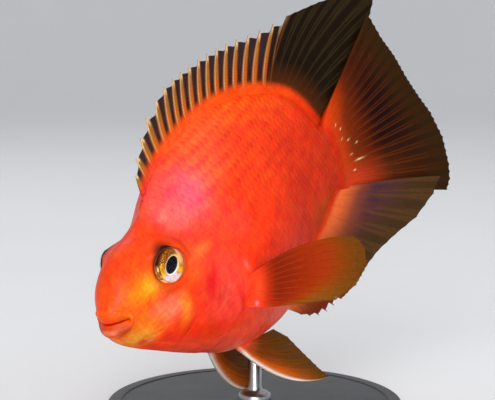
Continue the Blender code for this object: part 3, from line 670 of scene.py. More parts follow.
class Graph:
    """A material's nodes, added in the order of the maker's work."""

    def __init__(self, name: str) -> None:
        """Start a material with one Principled shader."""
        self.material = bpy.data.materials.new(name)
        self.material.use_nodes = True
        self.nodes = self.material.node_tree.nodes
        self.links = self.material.node_tree.links
        self.shader = self.nodes["Principled BSDF"]

    def add(self, kind: str, settings: dict | None = None, inputs: dict | None = None,
            output: int | str = 0) -> Socket:
        """Add a node.

        Args:
            kind: The node's type.
            settings: Its settings, set before its sockets.
            inputs: Values or Sockets by socket name or number.
            output: Which output to return.

        Returns:
            The output, wrapped.
        """
        node = self.nodes.new(kind)
        for key, value in (settings or {}).items():
            setattr(node, key, value)
        for key, value in (inputs or {}).items():
            self.feed(node.inputs[key], value)
        return Socket(self, node.outputs[output])

    def feed(self, socket: bpy.types.NodeSocket, value: object) -> None:
        """Link a wrapped value to a socket, or set a plain one on it."""
        if isinstance(value, Socket):
            self.links.new(value.socket, socket)
        elif isinstance(value, tuple) and len(value) == 3 and socket.type == "RGBA":
            socket.default_value = (*value, 1)
        else:
            socket.default_value = value

    def attribute(self, name: str, output: str = "Color") -> Socket:
        """Read an attribute of the mesh."""
        return self.add("ShaderNodeAttribute", {"attribute_name": name}, output=output)

    def place(self) -> Socket:
        """Read the object's coordinates, which are the frame's metres."""
        return self.add("ShaderNodeTexCoord", output="Object")

    def noise(self, scale: float, detail: float = 3, where: Socket | None = None) -> Socket:
        """Read a noise pattern with features of about one over scale metres."""
        inputs = {"Vector": where or self.place(), "Scale": scale, "Detail": detail}
        return self.add("ShaderNodeTexNoise", None, inputs)

    def cells(self, scale: float, where: Socket | None = None) -> Socket:
        """Read the distance to the nearest of scattered points, one over scale metres apart."""
        return self.add("ShaderNodeTexVoronoi", None, {"Vector": where or self.place(), "Scale": scale})

    def mix(self, share: Socket | float, one: Socket | Colour, other: Socket | Colour,
            blend: str = "MIX") -> Socket:
        """Mix two colours."""
        settings = {"data_type": "RGBA", "blend_type": blend}
        return self.add("ShaderNodeMix", settings, {0: share, 6: one, 7: other}, output=2)

    def scaled(self, colour: Socket, factor: Socket) -> Socket:
        """Multiply a colour by a number."""
        return self.add("ShaderNodeVectorMath", {"operation": "SCALE"}, {0: colour, "Scale": factor})

    def bump(self, height: Socket, distance: float, strength: float = 1.0) -> Socket:
        """Turn a height into a normal; distance is the real depth in metres."""
        return self.add("ShaderNodeBump", None, {"Height": height, "Distance": distance, "Strength": strength})

    def finish(self, **sockets: object) -> bpy.types.Material:
        """Set or link the shader's sockets, named with underscores for spaces."""
        for key, value in sockets.items():
            self.feed(self.shader.inputs[key.replace("_", " ")], value)
        return self.material


@dataclass(frozen=True)
class SkinFinish:
    """Wet skin: its colour comes from the mesh's tint, broken up by fine mottling and pores."""

    name: str
    roughness: float = 0.42
    coat: float = 0.06
    bump_depth: float = 0.00012

    def build(self) -> bpy.types.Material:
        """Return the material."""
        graph = Graph(self.name)
        fine = graph.noise(900, 4)
        broad = graph.noise(160, 3)
        flecks = graph.noise(430, 5)
        shade = 0.84 + fine * 0.24 + broad * 0.08
        colour = graph.scaled(graph.attribute("tint"), shade)
        redder = graph.mix(1.0, colour, (1.0, 0.6, 0.5), "MULTIPLY")
        colour = graph.mix(flecks.step(0.42, 0.66) * 0.5, colour, redder)
        height = graph.noise(1400, 2) * 0.6 + graph.cells(700) * 0.4
        rough = self.roughness + (broad - 0.5) * 0.16
        return graph.finish(
            Base_Color=colour, Roughness=rough, Normal=graph.bump(height, self.bump_depth, 0.6),
            Coat_Weight=self.coat, Coat_Roughness=0.2, Subsurface_Weight=0.1, Subsurface_Scale=0.004,
            Subsurface_Radius=(1.0, 0.2, 0.08), Specular_IOR_Level=0.1)


@dataclass(frozen=True)
class ScaleFinish:
    """Scales: the skin's tint, with painted shade deepening toward each root under the scale in front, and paler at the
    thin free edge.
    """

    name: str
    roughness: float = 0.42

    def build(self) -> bpy.types.Material:
        """Return the material."""
        graph = Graph(self.name)
        shade = graph.attribute("shade", "Fac")
        fine = graph.noise(1100, 3)
        colour = graph.scaled(graph.attribute("tint"), shade * (0.94 + fine * 0.12))
        rings = (graph.attribute("growth", "Fac") * 60).sine() * 0.5 + 0.5
        rough = self.roughness + (graph.noise(260, 2) - 0.5) * 0.14
        return graph.finish(
            Base_Color=colour, Roughness=rough, Normal=graph.bump(rings, 0.00003, 0.5), Coat_Weight=0.05,
            Coat_Roughness=0.22, Subsurface_Weight=0.06, Subsurface_Scale=0.002,
            Subsurface_Radius=(1.0, 0.2, 0.08), Specular_IOR_Level=0.08)


@dataclass(frozen=True)
class FinFinish:
    """Fin: the colours of membrane and rays come from the mesh, and the rays show their joints."""

    name: str
    roughness: float = 0.38

    def build(self) -> bpy.types.Material:
        """Return the material."""
        graph = Graph(self.name)
        along = graph.attribute("along", "Fac")
        ridge = graph.attribute("ridge", "Fac")
        fine = graph.noise(700, 4)
        joints = (along * 5.2 + fine * 1.5).sine() * 0.5 + 0.5
        shade = (0.82 + fine * 0.36) * (1 - joints * ridge * 0.14)
        colour = graph.scaled(graph.attribute("tint"), shade)
        height = joints * ridge * 0.7 + graph.noise(500, 3) * 0.3
        return graph.finish(
            Base_Color=colour, Roughness=self.roughness + fine * 0.12, Alpha=graph.attribute("cover", "Fac"),
            Normal=graph.bump(height, 0.00008, 0.7), Specular_IOR_Level=0.05)


class Metal(Enum):
    """Finishes of the stand."""

    BLACK = (0.012, 0.012, 0.014)
    STEEL = (0.56, 0.57, 0.58)


@dataclass(frozen=True)
class StandFinish:
    """Stand surfaces: satin black with fine specks, or steel brushed round the rod."""

    name: str
    metal: Metal

    def build(self) -> bpy.types.Material:
        """Return the material."""
        graph = Graph(self.name)
        if self.metal is Metal.BLACK:
            fine = graph.noise(1800, 5)
            wear = graph.noise(60, 4)
            colour = graph.mix(fine.step(0.45, 0.75) * 0.5, self.metal.value, (0.03, 0.03, 0.034))
            return graph.finish(Base_Color=colour, Roughness=0.34 + wear * 0.16, Coat_Weight=0.2,
                                Coat_Roughness=0.3, Normal=graph.bump(fine, 0.00002, 0.5))
        stretch = graph.add("ShaderNodeMapping", None, {"Vector": graph.place(), "Scale": (60, 60, 5200)})
        brush = graph.noise(1, 3, stretch)
        colour = graph.mix(brush, self.metal.value, (0.40, 0.41, 0.43))
        return graph.finish(Base_Color=colour, Metallic=1.0, Roughness=0.22 + brush * 0.2,
                            Normal=graph.bump(brush, 0.00001, 0.4))


@dataclass(frozen=True)
class EyeFinish:
    """Eye: a black pupil, a silver ring round it, a gold iris dark above with painted highlights on its rear and lower
    side, and a brassy eyeball behind, with painted shade toward its top.
    """

    name: str
    pupil: float = 3.05
    ring: float = 3.6
    iris: float = 6.05

    def build(self) -> bpy.types.Material:
        """Return the material."""
        graph = Graph(self.name)
        radius = graph.attribute("radius", "Fac")
        height = graph.attribute("height", "Fac")
        rear = graph.attribute("rear", "Fac")
        grain = graph.noise(1500, 5)
        streak = graph.noise(520, 4)
        fleck = graph.noise(2600, 3)
        edge = radius + (grain - 0.5) * 0.5
        gold = graph.mix(streak.step(0.38, 0.62), paint(250, 186, 30), paint(206, 124, 14))
        brown = graph.mix(grain.step(0.42, 0.58), paint(170, 90, 14), paint(90, 36, 6))
        dark = (height + rear * -0.1 + (streak - 0.5) * 4).step(1.5, 3.8)
        colour = graph.mix(dark * 0.9, gold, brown)
        # Painted highlight: pale cream on the iris's rear side.
        right = (rear + height * 0.3 + (grain - 0.5) * 3).step(3.6, 4.5)
        colour = graph.mix(right * 0.8, colour, graph.mix(fleck, paint(244, 176, 110), paint(250, 206, 184)))
        # Painted highlight: a pale lilac patch low on the iris.
        low = (height * -1 + rear * -0.3 + (grain - 0.5) * 2.5).step(2.9, 4.2)
        lilac_highlight = graph.mix(fleck.step(0.4, 0.6), paint(255, 240, 255), paint(226, 188, 190))
        colour = graph.mix(low * 0.92, colour, lilac_highlight)
        silver = graph.mix((height * -1 + rear * -0.5).step(-1.5, 3), paint(240, 204, 136), paint(255, 250, 255))
        colour = graph.mix(edge.step(self.ring - 0.2, self.ring + 0.3), silver, colour)
        rim = graph.mix((height + rear * -0.6 + (grain - 0.5) * 3).step(0.5, 3), paint(214, 160, 66), paint(96, 42, 8))
        colour = graph.mix(edge.step(self.iris - 0.3, self.iris), colour, rim)
        # The wall behind the iris: brown with cream patches that are painted highlights in part, darkened toward the
        # top by painted shade.
        cream = graph.mix((streak + grain * 0.4).step(0.6, 0.8), paint(250, 212, 140), paint(150, 88, 24))
        back = graph.mix((height + rear * -0.2 + (streak - 0.5) * 2).step(1.4, 3.8), cream, paint(54, 22, 6))
        colour = graph.mix(graph.attribute("wall", "Fac").step(0.3, 0.9), colour, back)
        colour = graph.mix(radius.step(self.pupil - 0.02, self.pupil + 0.12), paint(10, 10, 22), colour)
        metal = radius.step(self.pupil, self.pupil + 0.1) * 0.15
        return graph.finish(Base_Color=colour, Roughness=0.3 + grain * 0.22, Metallic=metal, Specular_IOR_Level=0.02,
                            Normal=graph.bump(grain * metal, 0.0002, 0.6))


@dataclass(frozen=True)
class CorneaFinish:
    """Clear cornea: little more than its gloss."""

    name: str

    def build(self) -> bpy.types.Material:
        """Return the material."""
        graph = Graph(self.name)
        haze = graph.noise(600, 3)
        return graph.finish(Base_Color=(0.02, 0.02, 0.025), Roughness=0.02 + haze * 0.03, Alpha=0.06,
                            Coat_Weight=0.6, Coat_Roughness=0.02, Specular_IOR_Level=0.6)


@dataclass(frozen=True)
class RimFinish:
    """The thin ring where the eye meets the head: orange below, darkened toward its upper front by painted shade."""

    name: str = "eye_rim"

    def build(self) -> bpy.types.Material:
        """Return the material."""
        graph = Graph(self.name)
        fine = graph.noise(900, 3)
        height = graph.attribute("height", "Fac") + (fine - 0.5) * 0.6
        # Painted shade: the ring turns dark toward its upper front.
        colour = graph.mix(height.step(0.1, 1.1), paint(196, 84, 22), paint(56, 24, 8))
        return graph.finish(Base_Color=colour, Roughness=0.4 + fine * 0.1, Specular_IOR_Level=0.3)


@dataclass(frozen=True)
class FloorFinish:
    """Plain pale floor."""

    name: str = "pale_floor"
    colour: Colour = (0.81, 0.81, 0.8)
    darker: Colour = (0.79, 0.79, 0.78)

    def build(self) -> bpy.types.Material:
        """Return the material."""
        graph = Graph(self.name)
        grain = graph.noise(14, 2)
        colour = graph.mix(grain, self.colour, self.darker)
        return graph.finish(Base_Color=colour, Roughness=0.75, Specular_IOR_Level=0.2)


def new_piece(name: str, points: Array, faces: list | Array) -> bpy.types.Object:
    """Make a smooth-shaded object of points in metres.

    Args:
        name: The piece's name.
        points: Points in the frame.
        faces: Corner numbers of each face.

    Returns:
        The object, at the origin.
    """
    mesh = bpy.data.meshes.new(name)
    mesh.from_pydata([tuple(p) for p in np.asarray(points).reshape(-1, 3)], [], [tuple(f) for f in faces])
    mesh.validate()
    mesh.shade_smooth()
    piece = bpy.data.objects.new(name, mesh)
    bpy.context.collection.objects.link(piece)
    return piece


def closed_sheet(rows: int, columns: int) -> Array:
    """Return the faces of a thin sheet: a grid of points, a second grid under it, and walls round the rim.

    Args:
        rows: Rows of each grid.
        columns: Columns of each grid.

    Returns:
        Corner numbers of each face, the first grid's points coming before the second's.
    """
    index = np.arange(rows * columns).reshape(rows, columns)
    quads = np.stack((index[:-1, :-1], index[:-1, 1:], index[1:, 1:], index[1:, :-1]), axis=-1).reshape(-1, 4)
    rim = np.concatenate((index[0], index[1:, -1], index[-1, -2::-1], index[-2:0:-1, 0]))
    after = np.roll(rim, -1)
    walls = np.stack((rim, rim + index.size, after + index.size, after), axis=-1)
    return np.concatenate((quads, quads[:, ::-1] + index.size, walls))


def open_mesh(piece: bpy.types.Object) -> None:
    """Open one piece in edit mode with all of it selected."""
    bpy.ops.object.select_all(action="DESELECT")
    piece.select_set(True)
    bpy.context.view_layer.objects.active = piece
    bpy.ops.object.mode_set(mode="EDIT")
    bpy.ops.mesh.select_all(action="SELECT")


def close_mesh() -> None:
    """Turn the open piece's faces outward and leave edit mode."""
    bpy.ops.mesh.normals_make_consistent(inside=False)
    bpy.ops.object.mode_set(mode="OBJECT")


def write_values(piece: bpy.types.Object, name: str, values: Array) -> None:
    """Store one number or colour for each point of a mesh.

    Args:
        piece: The piece to write on.
        name: The attribute's name.
        values: One number, or one linear colour, for each point.
    """
    values = np.asarray(values, float)
    if values.ndim == 1:
        layer = piece.data.attributes.new(name, "FLOAT", "POINT")
        layer.data.foreach_set("value", values)
        return
    layer = piece.data.attributes.new(name, "FLOAT_COLOR", "POINT")
    layer.data.foreach_set("color", np.column_stack((values, np.ones(len(values)))).ravel())


def dress(piece: bpy.types.Object, material: bpy.types.Material, slot: str, *nodes: str) -> None:
    """Give a piece its material, hang it from the root body and hide the solids that it replaces.

    Args:
        piece: The piece.
        material: Its material.
        slot: The record's material slot; not used.
        nodes: The solids that it replaces, if any.
    """
    piece.data.materials.clear()
    piece.data.materials.append(material)
    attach(piece, "root")
    if nodes:
        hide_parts(*nodes)
    LOG.info("%s: %d faces", piece.name, len(piece.data.polygons))


@dataclass
class Skin:
    """The one skin of head, body and tail base."""

    half: HalfSkin
    pose: Pose
    markings: Markings
    shaded_mouth_rings: int = len(HalfSkin.MOUTH) - 5

    def build(self, finish: SkinFinish) -> None:
        """Build the whole skin from the half grid and its mirror image, closed in the mouth and at the tail."""
        right = self.half.points
        rows = len(right)
        left = right[:, -2:0:-1] * (1, -1, 1)
        whole = np.concatenate((right, left), axis=1)
        around = whole.shape[1]
        tint = self.markings.tint(right, self.half.body.orbit)
        tints = np.concatenate((tint, tint[:, -2:0:-1]), axis=1)
        front, rear = whole[0].mean(axis=0) + (0.4, 0, 0), whole[-1].mean(axis=0)
        points = np.concatenate((whole.reshape(-1, 3), [front, rear]))
        index = np.arange(rows * around).reshape(rows, around)
        turned = np.roll(index, -1, axis=1)
        quads = np.stack((index[:-1], index[1:], turned[1:], turned[:-1]), axis=-1).reshape(-1, 4)
        caps = [(len(points) - 2, index[0, i], turned[0, i]) for i in range(around)]
        caps += [(len(points) - 1, turned[-1, i], index[-1, i]) for i in range(around)]
        piece = new_piece("skin", self.pose.placed(points), quads.tolist() + caps)
        # Dark red on the two end caps and the deepest mouth rings: painted shade inside the mouth, the rear cap being
        # hidden in the tail.
        tints = np.concatenate((tints.reshape(-1, 3), np.tile(paint(120, 30, 20), (2, 1))))
        tints[:self.shaded_mouth_rings * around] *= (0.9, 0.5, 0.4)
        write_values(piece, "tint", tints)
        dress(piece, finish.build(), "body_skin", "head", "jaw", "gill_cover_left", "gill_cover_right", "trunk",
              "tail_base")


@dataclass
class Scales:
    """Overlapping scales as closed plates that follow the skin."""

    half: HalfSkin
    pose: Pose
    markings: Markings
    start: float = 25.0
    tail_gap: float = 3.4
    pitch: float = 1.5
    row_pitch: float = 5.0
    length: float = 5.0
    width: float = 2.75
    thickness: float = 0.06
    root_lap: float = 0.4
    root_height: float = -0.14
    tip_height: float = 0.1
    settling: float = 9
    seed: int = 11
    bare_pad: tuple[float, float] = (56.6, -18.2)
    bare_reach: tuple[float, float] = (3.2, 5.6)
    dash_at: float = 0.82
    dash_size: tuple[float, float] = (0.15, 0.56)
    nape: tuple[float, float, float] = (50, 24, 16)

    ALONG = (0.0, 0.36, 0.64, 0.78, 0.9, 1.0)
    ACROSS = (-1.0, -0.86, -0.62, -0.32, 0.0, 0.32, 0.62, 0.86, 1.0)
    SIZES = ((26, 38, 56, 70, 125, 147), (0.66, 0.78, 0.95, 1, 0.96, 0.74))
    BAKE_PATCH = 0.003

    def grid(self) -> list[Array]:
        """Return how far along and across its scale each point of a plate lies."""
        return np.meshgrid(self.ALONG, self.ACROSS, indexing="ij")

    def lattice(self) -> list[tuple[float, float, int]]:
        """Return each scale's distance behind the lip, length round the body and 1 in every second column."""
        roots = []
        arcs = self.half.arcs()
        column, x = 0, self.start
        while x < self.half.body.length - self.tail_gap:
            row = int(np.interp(x, self.half.x, np.arange(len(self.half.x))))
            top, bottom = arcs[row, 0], arcs[row, -1]
            offset = (column % 2) * self.row_pitch / 2
            first = math.ceil((bottom - offset) / self.row_pitch)
            for k in range(first, int((top - offset) / self.row_pitch) + 1):
                arc = k * self.row_pitch + offset
                if bottom + 0.4 < arc < top - 0.3:
                    roots.append((x, arc, column % 2))
            x += self.pitch * float(np.interp(x, *self.SIZES))
            column += 1
        return roots

    def build(self, side: str, sign: int, finish: bpy.types.Material) -> None:
        """Build the scales of one flank as a front and a rear piece.

        Args:
            side: Name of the side.
            sign: 1 for the right side, -1 for the left.
            finish: The scales' material.
        """
        draw = np.random.default_rng(self.seed + sign)
        half, arcs = self.half, self.half.arcs()
        roots = np.array(self.lattice())
        rows = np.interp(roots[:, 0], half.x, np.arange(len(half.x)))
        here, _ = half.read(rows, half.column_at(arcs, rows, roots[:, 1]))
        off = (here[:, ::2] - self.bare_pad) / self.bare_reach
        kept = (half.body.scaly(here) > 0.5) & (np.hypot(off[:, 0], off[:, 1]) >= 1)
        roots, here = roots[kept], here[kept]
        middle = float(np.median(roots[:, 0]))
        for name, chosen in (("front", roots[:, 0] < middle), ("rear", roots[:, 0] >= middle)):
            self.piece(f"scales_{side}_{name}", sign, roots[chosen], here[chosen], draw, finish)

    def plates(self, roots: Array, here: Array, settled: Array, draw: np.random.Generator) -> tuple[Array, Array]:
        """Lay a plate at each root.

        Args:
            roots: Distance behind the lip, length round the body and column of each root.
            here: Place of each root.
            settled: How far each scale has come to its full height behind the head, from 0 to 1.
            draw: Random numbers for small differences.

        Returns:
            The points of the plates' upper and lower faces, and the places on the skin below them.
        """
        half, arcs = self.half, self.half.arcs()
        count = len(roots)
        along, across = self.grid()
        shape_x = along * (1 - 0.42 * np.abs(across) ** 2.2) * self.length
        shape_arc = across * self.width * (0.8 + 0.2 * np.sin(np.minimum(along * 1.25, 1) * math.pi))
        rise = self.root_height + (self.tip_height - self.root_height) * along ** 1.2
        rise = rise + 0.05 * (1 - across ** 2) * along - 0.05 * ramp(along, 0.86, 1.0)
        size = draw.uniform(0.95, 1.05, count) * np.interp(roots[:, 0], *self.SIZES)
        lean = draw.normal(0, 0.04, count)
        lift = draw.uniform(0.92, 1.08, count) * (0.2 + 0.8 * settled * ramp(here[:, 0], 145, 131))
        wide = np.maximum(size, 0.95)[:, None, None]
        size, lean, lift = (v[:, None, None] for v in (size, lean, lift))
        xs = roots[:, 0, None, None] + (shape_x - self.root_lap) * size
        arc = roots[:, 1, None, None] + shape_arc * wide + lean * shape_x * size
        at_row = np.interp(xs, half.x, np.arange(len(half.x)))
        at_column = half.column_at(arcs, at_row.ravel(), arc.ravel()).reshape(at_row.shape)
        places, normals = half.read(at_row, at_column)
        upper = places + normals * (rise * lift)[..., None]
        lower = places + normals * (rise * lift - self.thickness)[..., None]
        points = np.stack((upper, lower), axis=1)
        points[..., 1] = np.maximum(points[..., 1], -0.4)
        return points, places

    def colours(self, roots: Array, here: Array, settled: Array, places: Array,
                draw: np.random.Generator) -> tuple[Array, Array]:
        """Colour the plates like the skin, with soft red dashes on every second column.

        Args:
            roots: Distance behind the lip, length round the body and column of each root.
            here: Place of each root.
            settled: How far each scale has come to its full height behind the head, from 0 to 1.
            places: Places on the skin below the plates.
            draw: Random numbers for small differences.

        Returns:
            The tint and the shade at each place.
        """
        count = len(roots)
        along, across = self.grid()
        strength = ramp(here[:, 2], -4, 20) * ramp(here[:, 0], 40, 56) * ramp(here[:, 0], 134, 98)
        strength = (strength * draw.uniform(0.5, 0.9, count))[:, None, None]
        column = roots[:, 2, None, None]
        length, width = self.dash_size
        dash = strength * (1 - column) * bell(along - self.dash_at, length) * bell(across, width)
        x, z, reach = self.nape
        nape = bell(np.hypot(here[:, 0] - x, (here[:, 2] - z) * 1.2), reach)[:, None, None]
        deep = np.stack((0.3 - 0.1 * nape, 0.96 - 0.1 * nape, 0.6 - 0.7 * nape), axis=-1)
        pale = 1 + strength[..., None] * (0.0, 0.1, 0.06)
        tint = self.markings.tint(places, self.half.body.orbit) * pale * (1 - dash[..., None] * deep)
        uneven = 1 + (draw.normal(0, 0.04, count) * (0.2 + 0.8 * settled))[:, None, None]
        # Painted shade toward each scale's root, where the scale in front overlaps it.
        shaded_root = (1 - along) * settled[:, None, None] * (1 - 0.5 * nape)
        return tint, (1.04 - 0.26 * shaded_root) * uneven

    def piece(self, name: str, sign: int, roots: Array, here: Array, draw: np.random.Generator,
              finish: bpy.types.Material) -> None:
        """Build one piece of scales.

        Args:
            name: The piece's name.
            sign: 1 for the right side, -1 for the left.
            roots: Distance behind the lip, length round the body and column of each root.
            here: Place of each root.
            draw: Random numbers for small differences.
            finish: The scales' material.
        """
        behind, _ = distance_to(SCALE_FRONT, here[:, 0], here[:, 2])
        settled = ramp(behind, 0, self.settling)
        points, places = self.plates(roots, here, settled, draw)
        count, _, rows, columns = points.shape[:4]
        plate = closed_sheet(rows, columns)[:, ::sign]
        faces = (plate[None] + (np.arange(count) * 2 * rows * columns)[:, None, None]).reshape(-1, 4)
        piece = new_piece(name, self.pose.placed(points * (1, sign, 1)).reshape(-1, 3), faces.tolist())
        along, across = self.grid()
        tint, shade = self.colours(roots, here, settled, places, draw)
        patch = np.stack((along - 0.5, across * 0.5), axis=-1) * self.BAKE_PATCH
        root_uv = np.stack((roots[:, 0] / self.half.body.length, 0.5 + roots[:, 1] / 140), axis=-1)
        both = points.shape[:4]
        write_values(piece, "tint", np.broadcast_to(tint[:, None], (*both, 3)).reshape(-1, 3))
        write_values(piece, "shade", np.broadcast_to(shade[:, None], both).ravel())
        write_values(piece, "growth", np.broadcast_to(np.hypot(along * 1.3, across * 0.8), both).ravel())
        uv = np.broadcast_to((root_uv[:, None, None] + patch)[:, None], (*both, 2)).reshape(-1, 2)
        layer = piece.data.uv_layers.new(name="OFBake")
        corner = np.empty(len(piece.data.loops), dtype=int)
        piece.data.loops.foreach_get("vertex_index", corner)
        layer.data.foreach_set("uv", uv[corner].ravel())
        dress(piece, finish, "body_skin")


@dataclass(frozen=True)
class Ray:
    """One fin ray: root, tip and the bow between them."""

    root: Array
    tip: Array
    bow: Array

    def at(self, t: Array) -> Array:
        """Return points along the ray."""
        t = np.asarray(t, float)[..., None]
        return self.root * (1 - t) + self.tip * t + self.bow * 4 * t * (1 - t)


def between(table: tuple[tuple[float, ...], ...], ray: float) -> list[float]:
    """Read a table of (ray, value...) rows at any ray by straight lines."""
    rows = np.array(table, float)
    return [float(np.interp(ray, rows[:, 0], column)) for column in rows[:, 1:].T]


@dataclass
class Fin:
    """A fin as a closed web between rays that stand up on both faces and branch toward their tips.

    Places across the web are told by ray number with fractions, and t and shares run from root to tip.
    """

    name: str
    pose: Pose
    rays: list[Ray]
    normal: Array
    spines: int
    colours: Callable[[Array, Array, Array, Array], tuple[Array, Array]]
    skin_tint: Callable[[Array], Array]
    stiff: bool = False
    rows: int = 54
    fractions: int = 14
    web: float = 0.22
    spine_ridge: float = 0.62
    soft_ridge: float = 0.34
    blade: float = 0.13
    free_spines: int = 0
    notch: float = 0.16
    sway: float = 0.8
    seed: int = 5
    # The fleshy root: its half thickness, how fast it thins, its rise from the skin and the width it runs out to.
    flesh: Callable[[float], float] = lambda place: 1.0
    fade: float = 6.0
    root_rise: float = 1.8
    fillet: Callable[[float], float] = lambda place: 0.0
    # The colours: how far out the rays begin, the green and blue taken off, and where the skin's colour fades out.
    bare: float = 0.0
    veil: float = 0.003
    merge: tuple[float, float] = (1.8, 4.2)
    root_shade: float = 1.0

    def reach_at(self, place: Array) -> Array:
        """Return the share of the ray's length that the web reaches at each place between rays."""
        ray, part = np.floor(place), place - np.floor(place)
        spiny = (ray < self.spines) & (part > 0)
        behind = self.notch * (0.55 + 0.45 * ramp(part, 0.1, 1.0)) * ramp(part, 0.0, 0.12)
        closing = ramp(part, 1.0, 0.93)
        soft = 0.004 + 0.009 * np.abs(np.sin(part * 2 * math.pi)) ** 0.7
        deep = np.where(ray < self.free_spines, 1.9, 1.0)
        return 1 - np.where(spiny, behind * deep * closing, soft)

    def ridges(self, place: Array, t: Array) -> Array:
        """Return how strongly a ray stands up at each place of the web."""
        near = np.round(place)
        off = place - near
        split = ramp(t, 0.3, 0.62) * 0.15
        again = ramp(t, 0.64, 0.9) * 0.075
        width = 0.1 - 0.045 * t
        soft = np.zeros(np.broadcast(place, t).shape)
        for first in (-1, 1):
            for second in (-1, 1):
                soft = np.maximum(soft, bell(off - first * split - second * again, width))
        spine_width = self.blade * np.interp(t, (0, 0.35, 0.7, 0.92, 1), (0.95, 1.1, 0.8, 0.42, 0.25))
        spine_width = spine_width * np.interp(near, (0, 5, self.spines), (1, 1, 0.72))
        spine = np.exp(-((off - 0.25 * self.blade) / spine_width) ** 4)
        return np.where(near < self.spines, spine, soft)

    def columns(self) -> Array:
        """Return the places of the web's columns, a little closer together beside each ray."""
        even = np.linspace(0, 1, self.fractions + 1)
        fractions = ((1 - np.cos(even * math.pi)) / 2 * 0.35 + even * 0.65)[:-1]
        last = len(self.rays) - 1
        return np.concatenate([i + fractions for i in range(last)] + [[float(last)]])

    def middle(self, place: Array, share: Array) -> tuple[Array, Array]:
        """Lay the web's middle between the rays, with a slow wave across it and a sag between rays.

        Args:
            place: Places of the columns.
            share: Share of the rays' length at each point.

        Returns:
            The points, and each one's distance from its column's root.
        """
        low = np.minimum(place.astype(int), len(self.rays) - 2)
        part = (place - low)[:, None]
        lines = [ray.at(share) for ray in self.rays]
        centre = np.stack([lines[i][c] * (1 - part[c]) + lines[i + 1][c] * part[c] for c, i in enumerate(low)])
        along = np.linalg.norm(centre - centre[:, :1], axis=-1)
        phase = np.random.default_rng(self.seed).uniform(0, 6)
        wave = (np.sin(place * 0.55 + phase) + np.sin(place * 0.23 + phase * 2)) * 0.6 * self.sway
        sag = np.sin(part * math.pi) * -0.25 * np.sin(share * math.pi)
        return centre + self.normal * (wave[:, None] * share ** 2 + sag)[..., None], along

    def half_thickness(self, place: Array, t: Array, share: Array, along: Array, ridge: Array) -> Array:
        """Return half the fin's thickness.

        Args:
            place: Places of the columns.
            t: Places of the rows.
            share: Share of the rays' length at each point.
            along: Distance from the root at each point.
            ridge: How strongly a ray stands up at each point.

        Returns:
            The half thickness at each point.
        """
        strong = np.where(np.round(place) < self.spines, self.spine_ridge, self.soft_ridge)[:, None]
        half = self.web * (1 - 0.55 * share) + ridge * strong * (1 - 0.72 * share)
        flesh = np.array([self.flesh(p) for p in place])[:, None]
        half = np.maximum(half, flesh * np.exp(-(along / self.fade) ** 2))
        half = half * (0.35 + 0.65 * ramp(along, 0, self.root_rise))
        half = half + np.array([self.fillet(p) for p in place])[:, None] * np.exp(-along / 1.6)
        return half * (0.25 + 0.75 * ramp(t, 1.0, 0.96))

    def build(self, finish: bpy.types.Material, slot: str, node: str) -> None:
        """Build the fin.

        Args:
            finish: Its material.
            slot: The record's material slot.
            node: The solid that it replaces.
        """
        place = self.columns()
        t = np.linspace(0, 1, self.rows + 1) ** 0.9
        share = t * self.reach_at(place)[:, None]
        centre, along = self.middle(place, share)
        ridge = self.ridges(place[:, None], share) * ramp(along, self.bare * 0.4, self.bare + 0.01)
        offset = self.normal * self.half_thickness(place, t, share, along, ridge)[..., None]
        points = np.stack((centre + offset, centre - offset))
        piece = new_piece(self.name, self.pose.placed(points, self.stiff), closed_sheet(*share.shape).tolist())
        open_mesh(piece)
        close_mesh()
        tint, cover = self.colours(*np.broadcast_arrays(place[:, None], t), ridge, along)
        tint = np.maximum(tint - np.array((0, self.veil, self.veil)), 0.001)
        merge = ramp(along, self.merge[1], self.merge[0])[..., None]
        below = self.skin_tint(centre * np.where(centre < 0, (1, -1, 1), 1))
        tint = tint * (1 - merge) + below * merge * self.root_shade
        write_values(piece, "tint", np.tile(tint.reshape(-1, 3), (2, 1)))
        for name, values in (("cover", cover), ("along", along), ("ridge", ridge)):
            write_values(piece, name, np.tile(values.ravel(), 2))
        dress(piece, finish, slot, node)


def blend(colours: list[tuple[Colour, Array]], start: Colour) -> Array:
    """Lay colours over one another.

    Args:
        colours: Pairs of a colour and its share at each point, in the order they are laid.
        start: The colour below them all.

    Returns:
        The colour at each point.
    """
    shape = np.shape(colours[0][1])
    out = np.broadcast_to(np.array(start), (*shape, 3)).copy()
    for colour, share in colours:
        share = np.clip(share, 0, 1)[..., None]
        out = out * (1 - share) + np.array(colour) * share
    return out


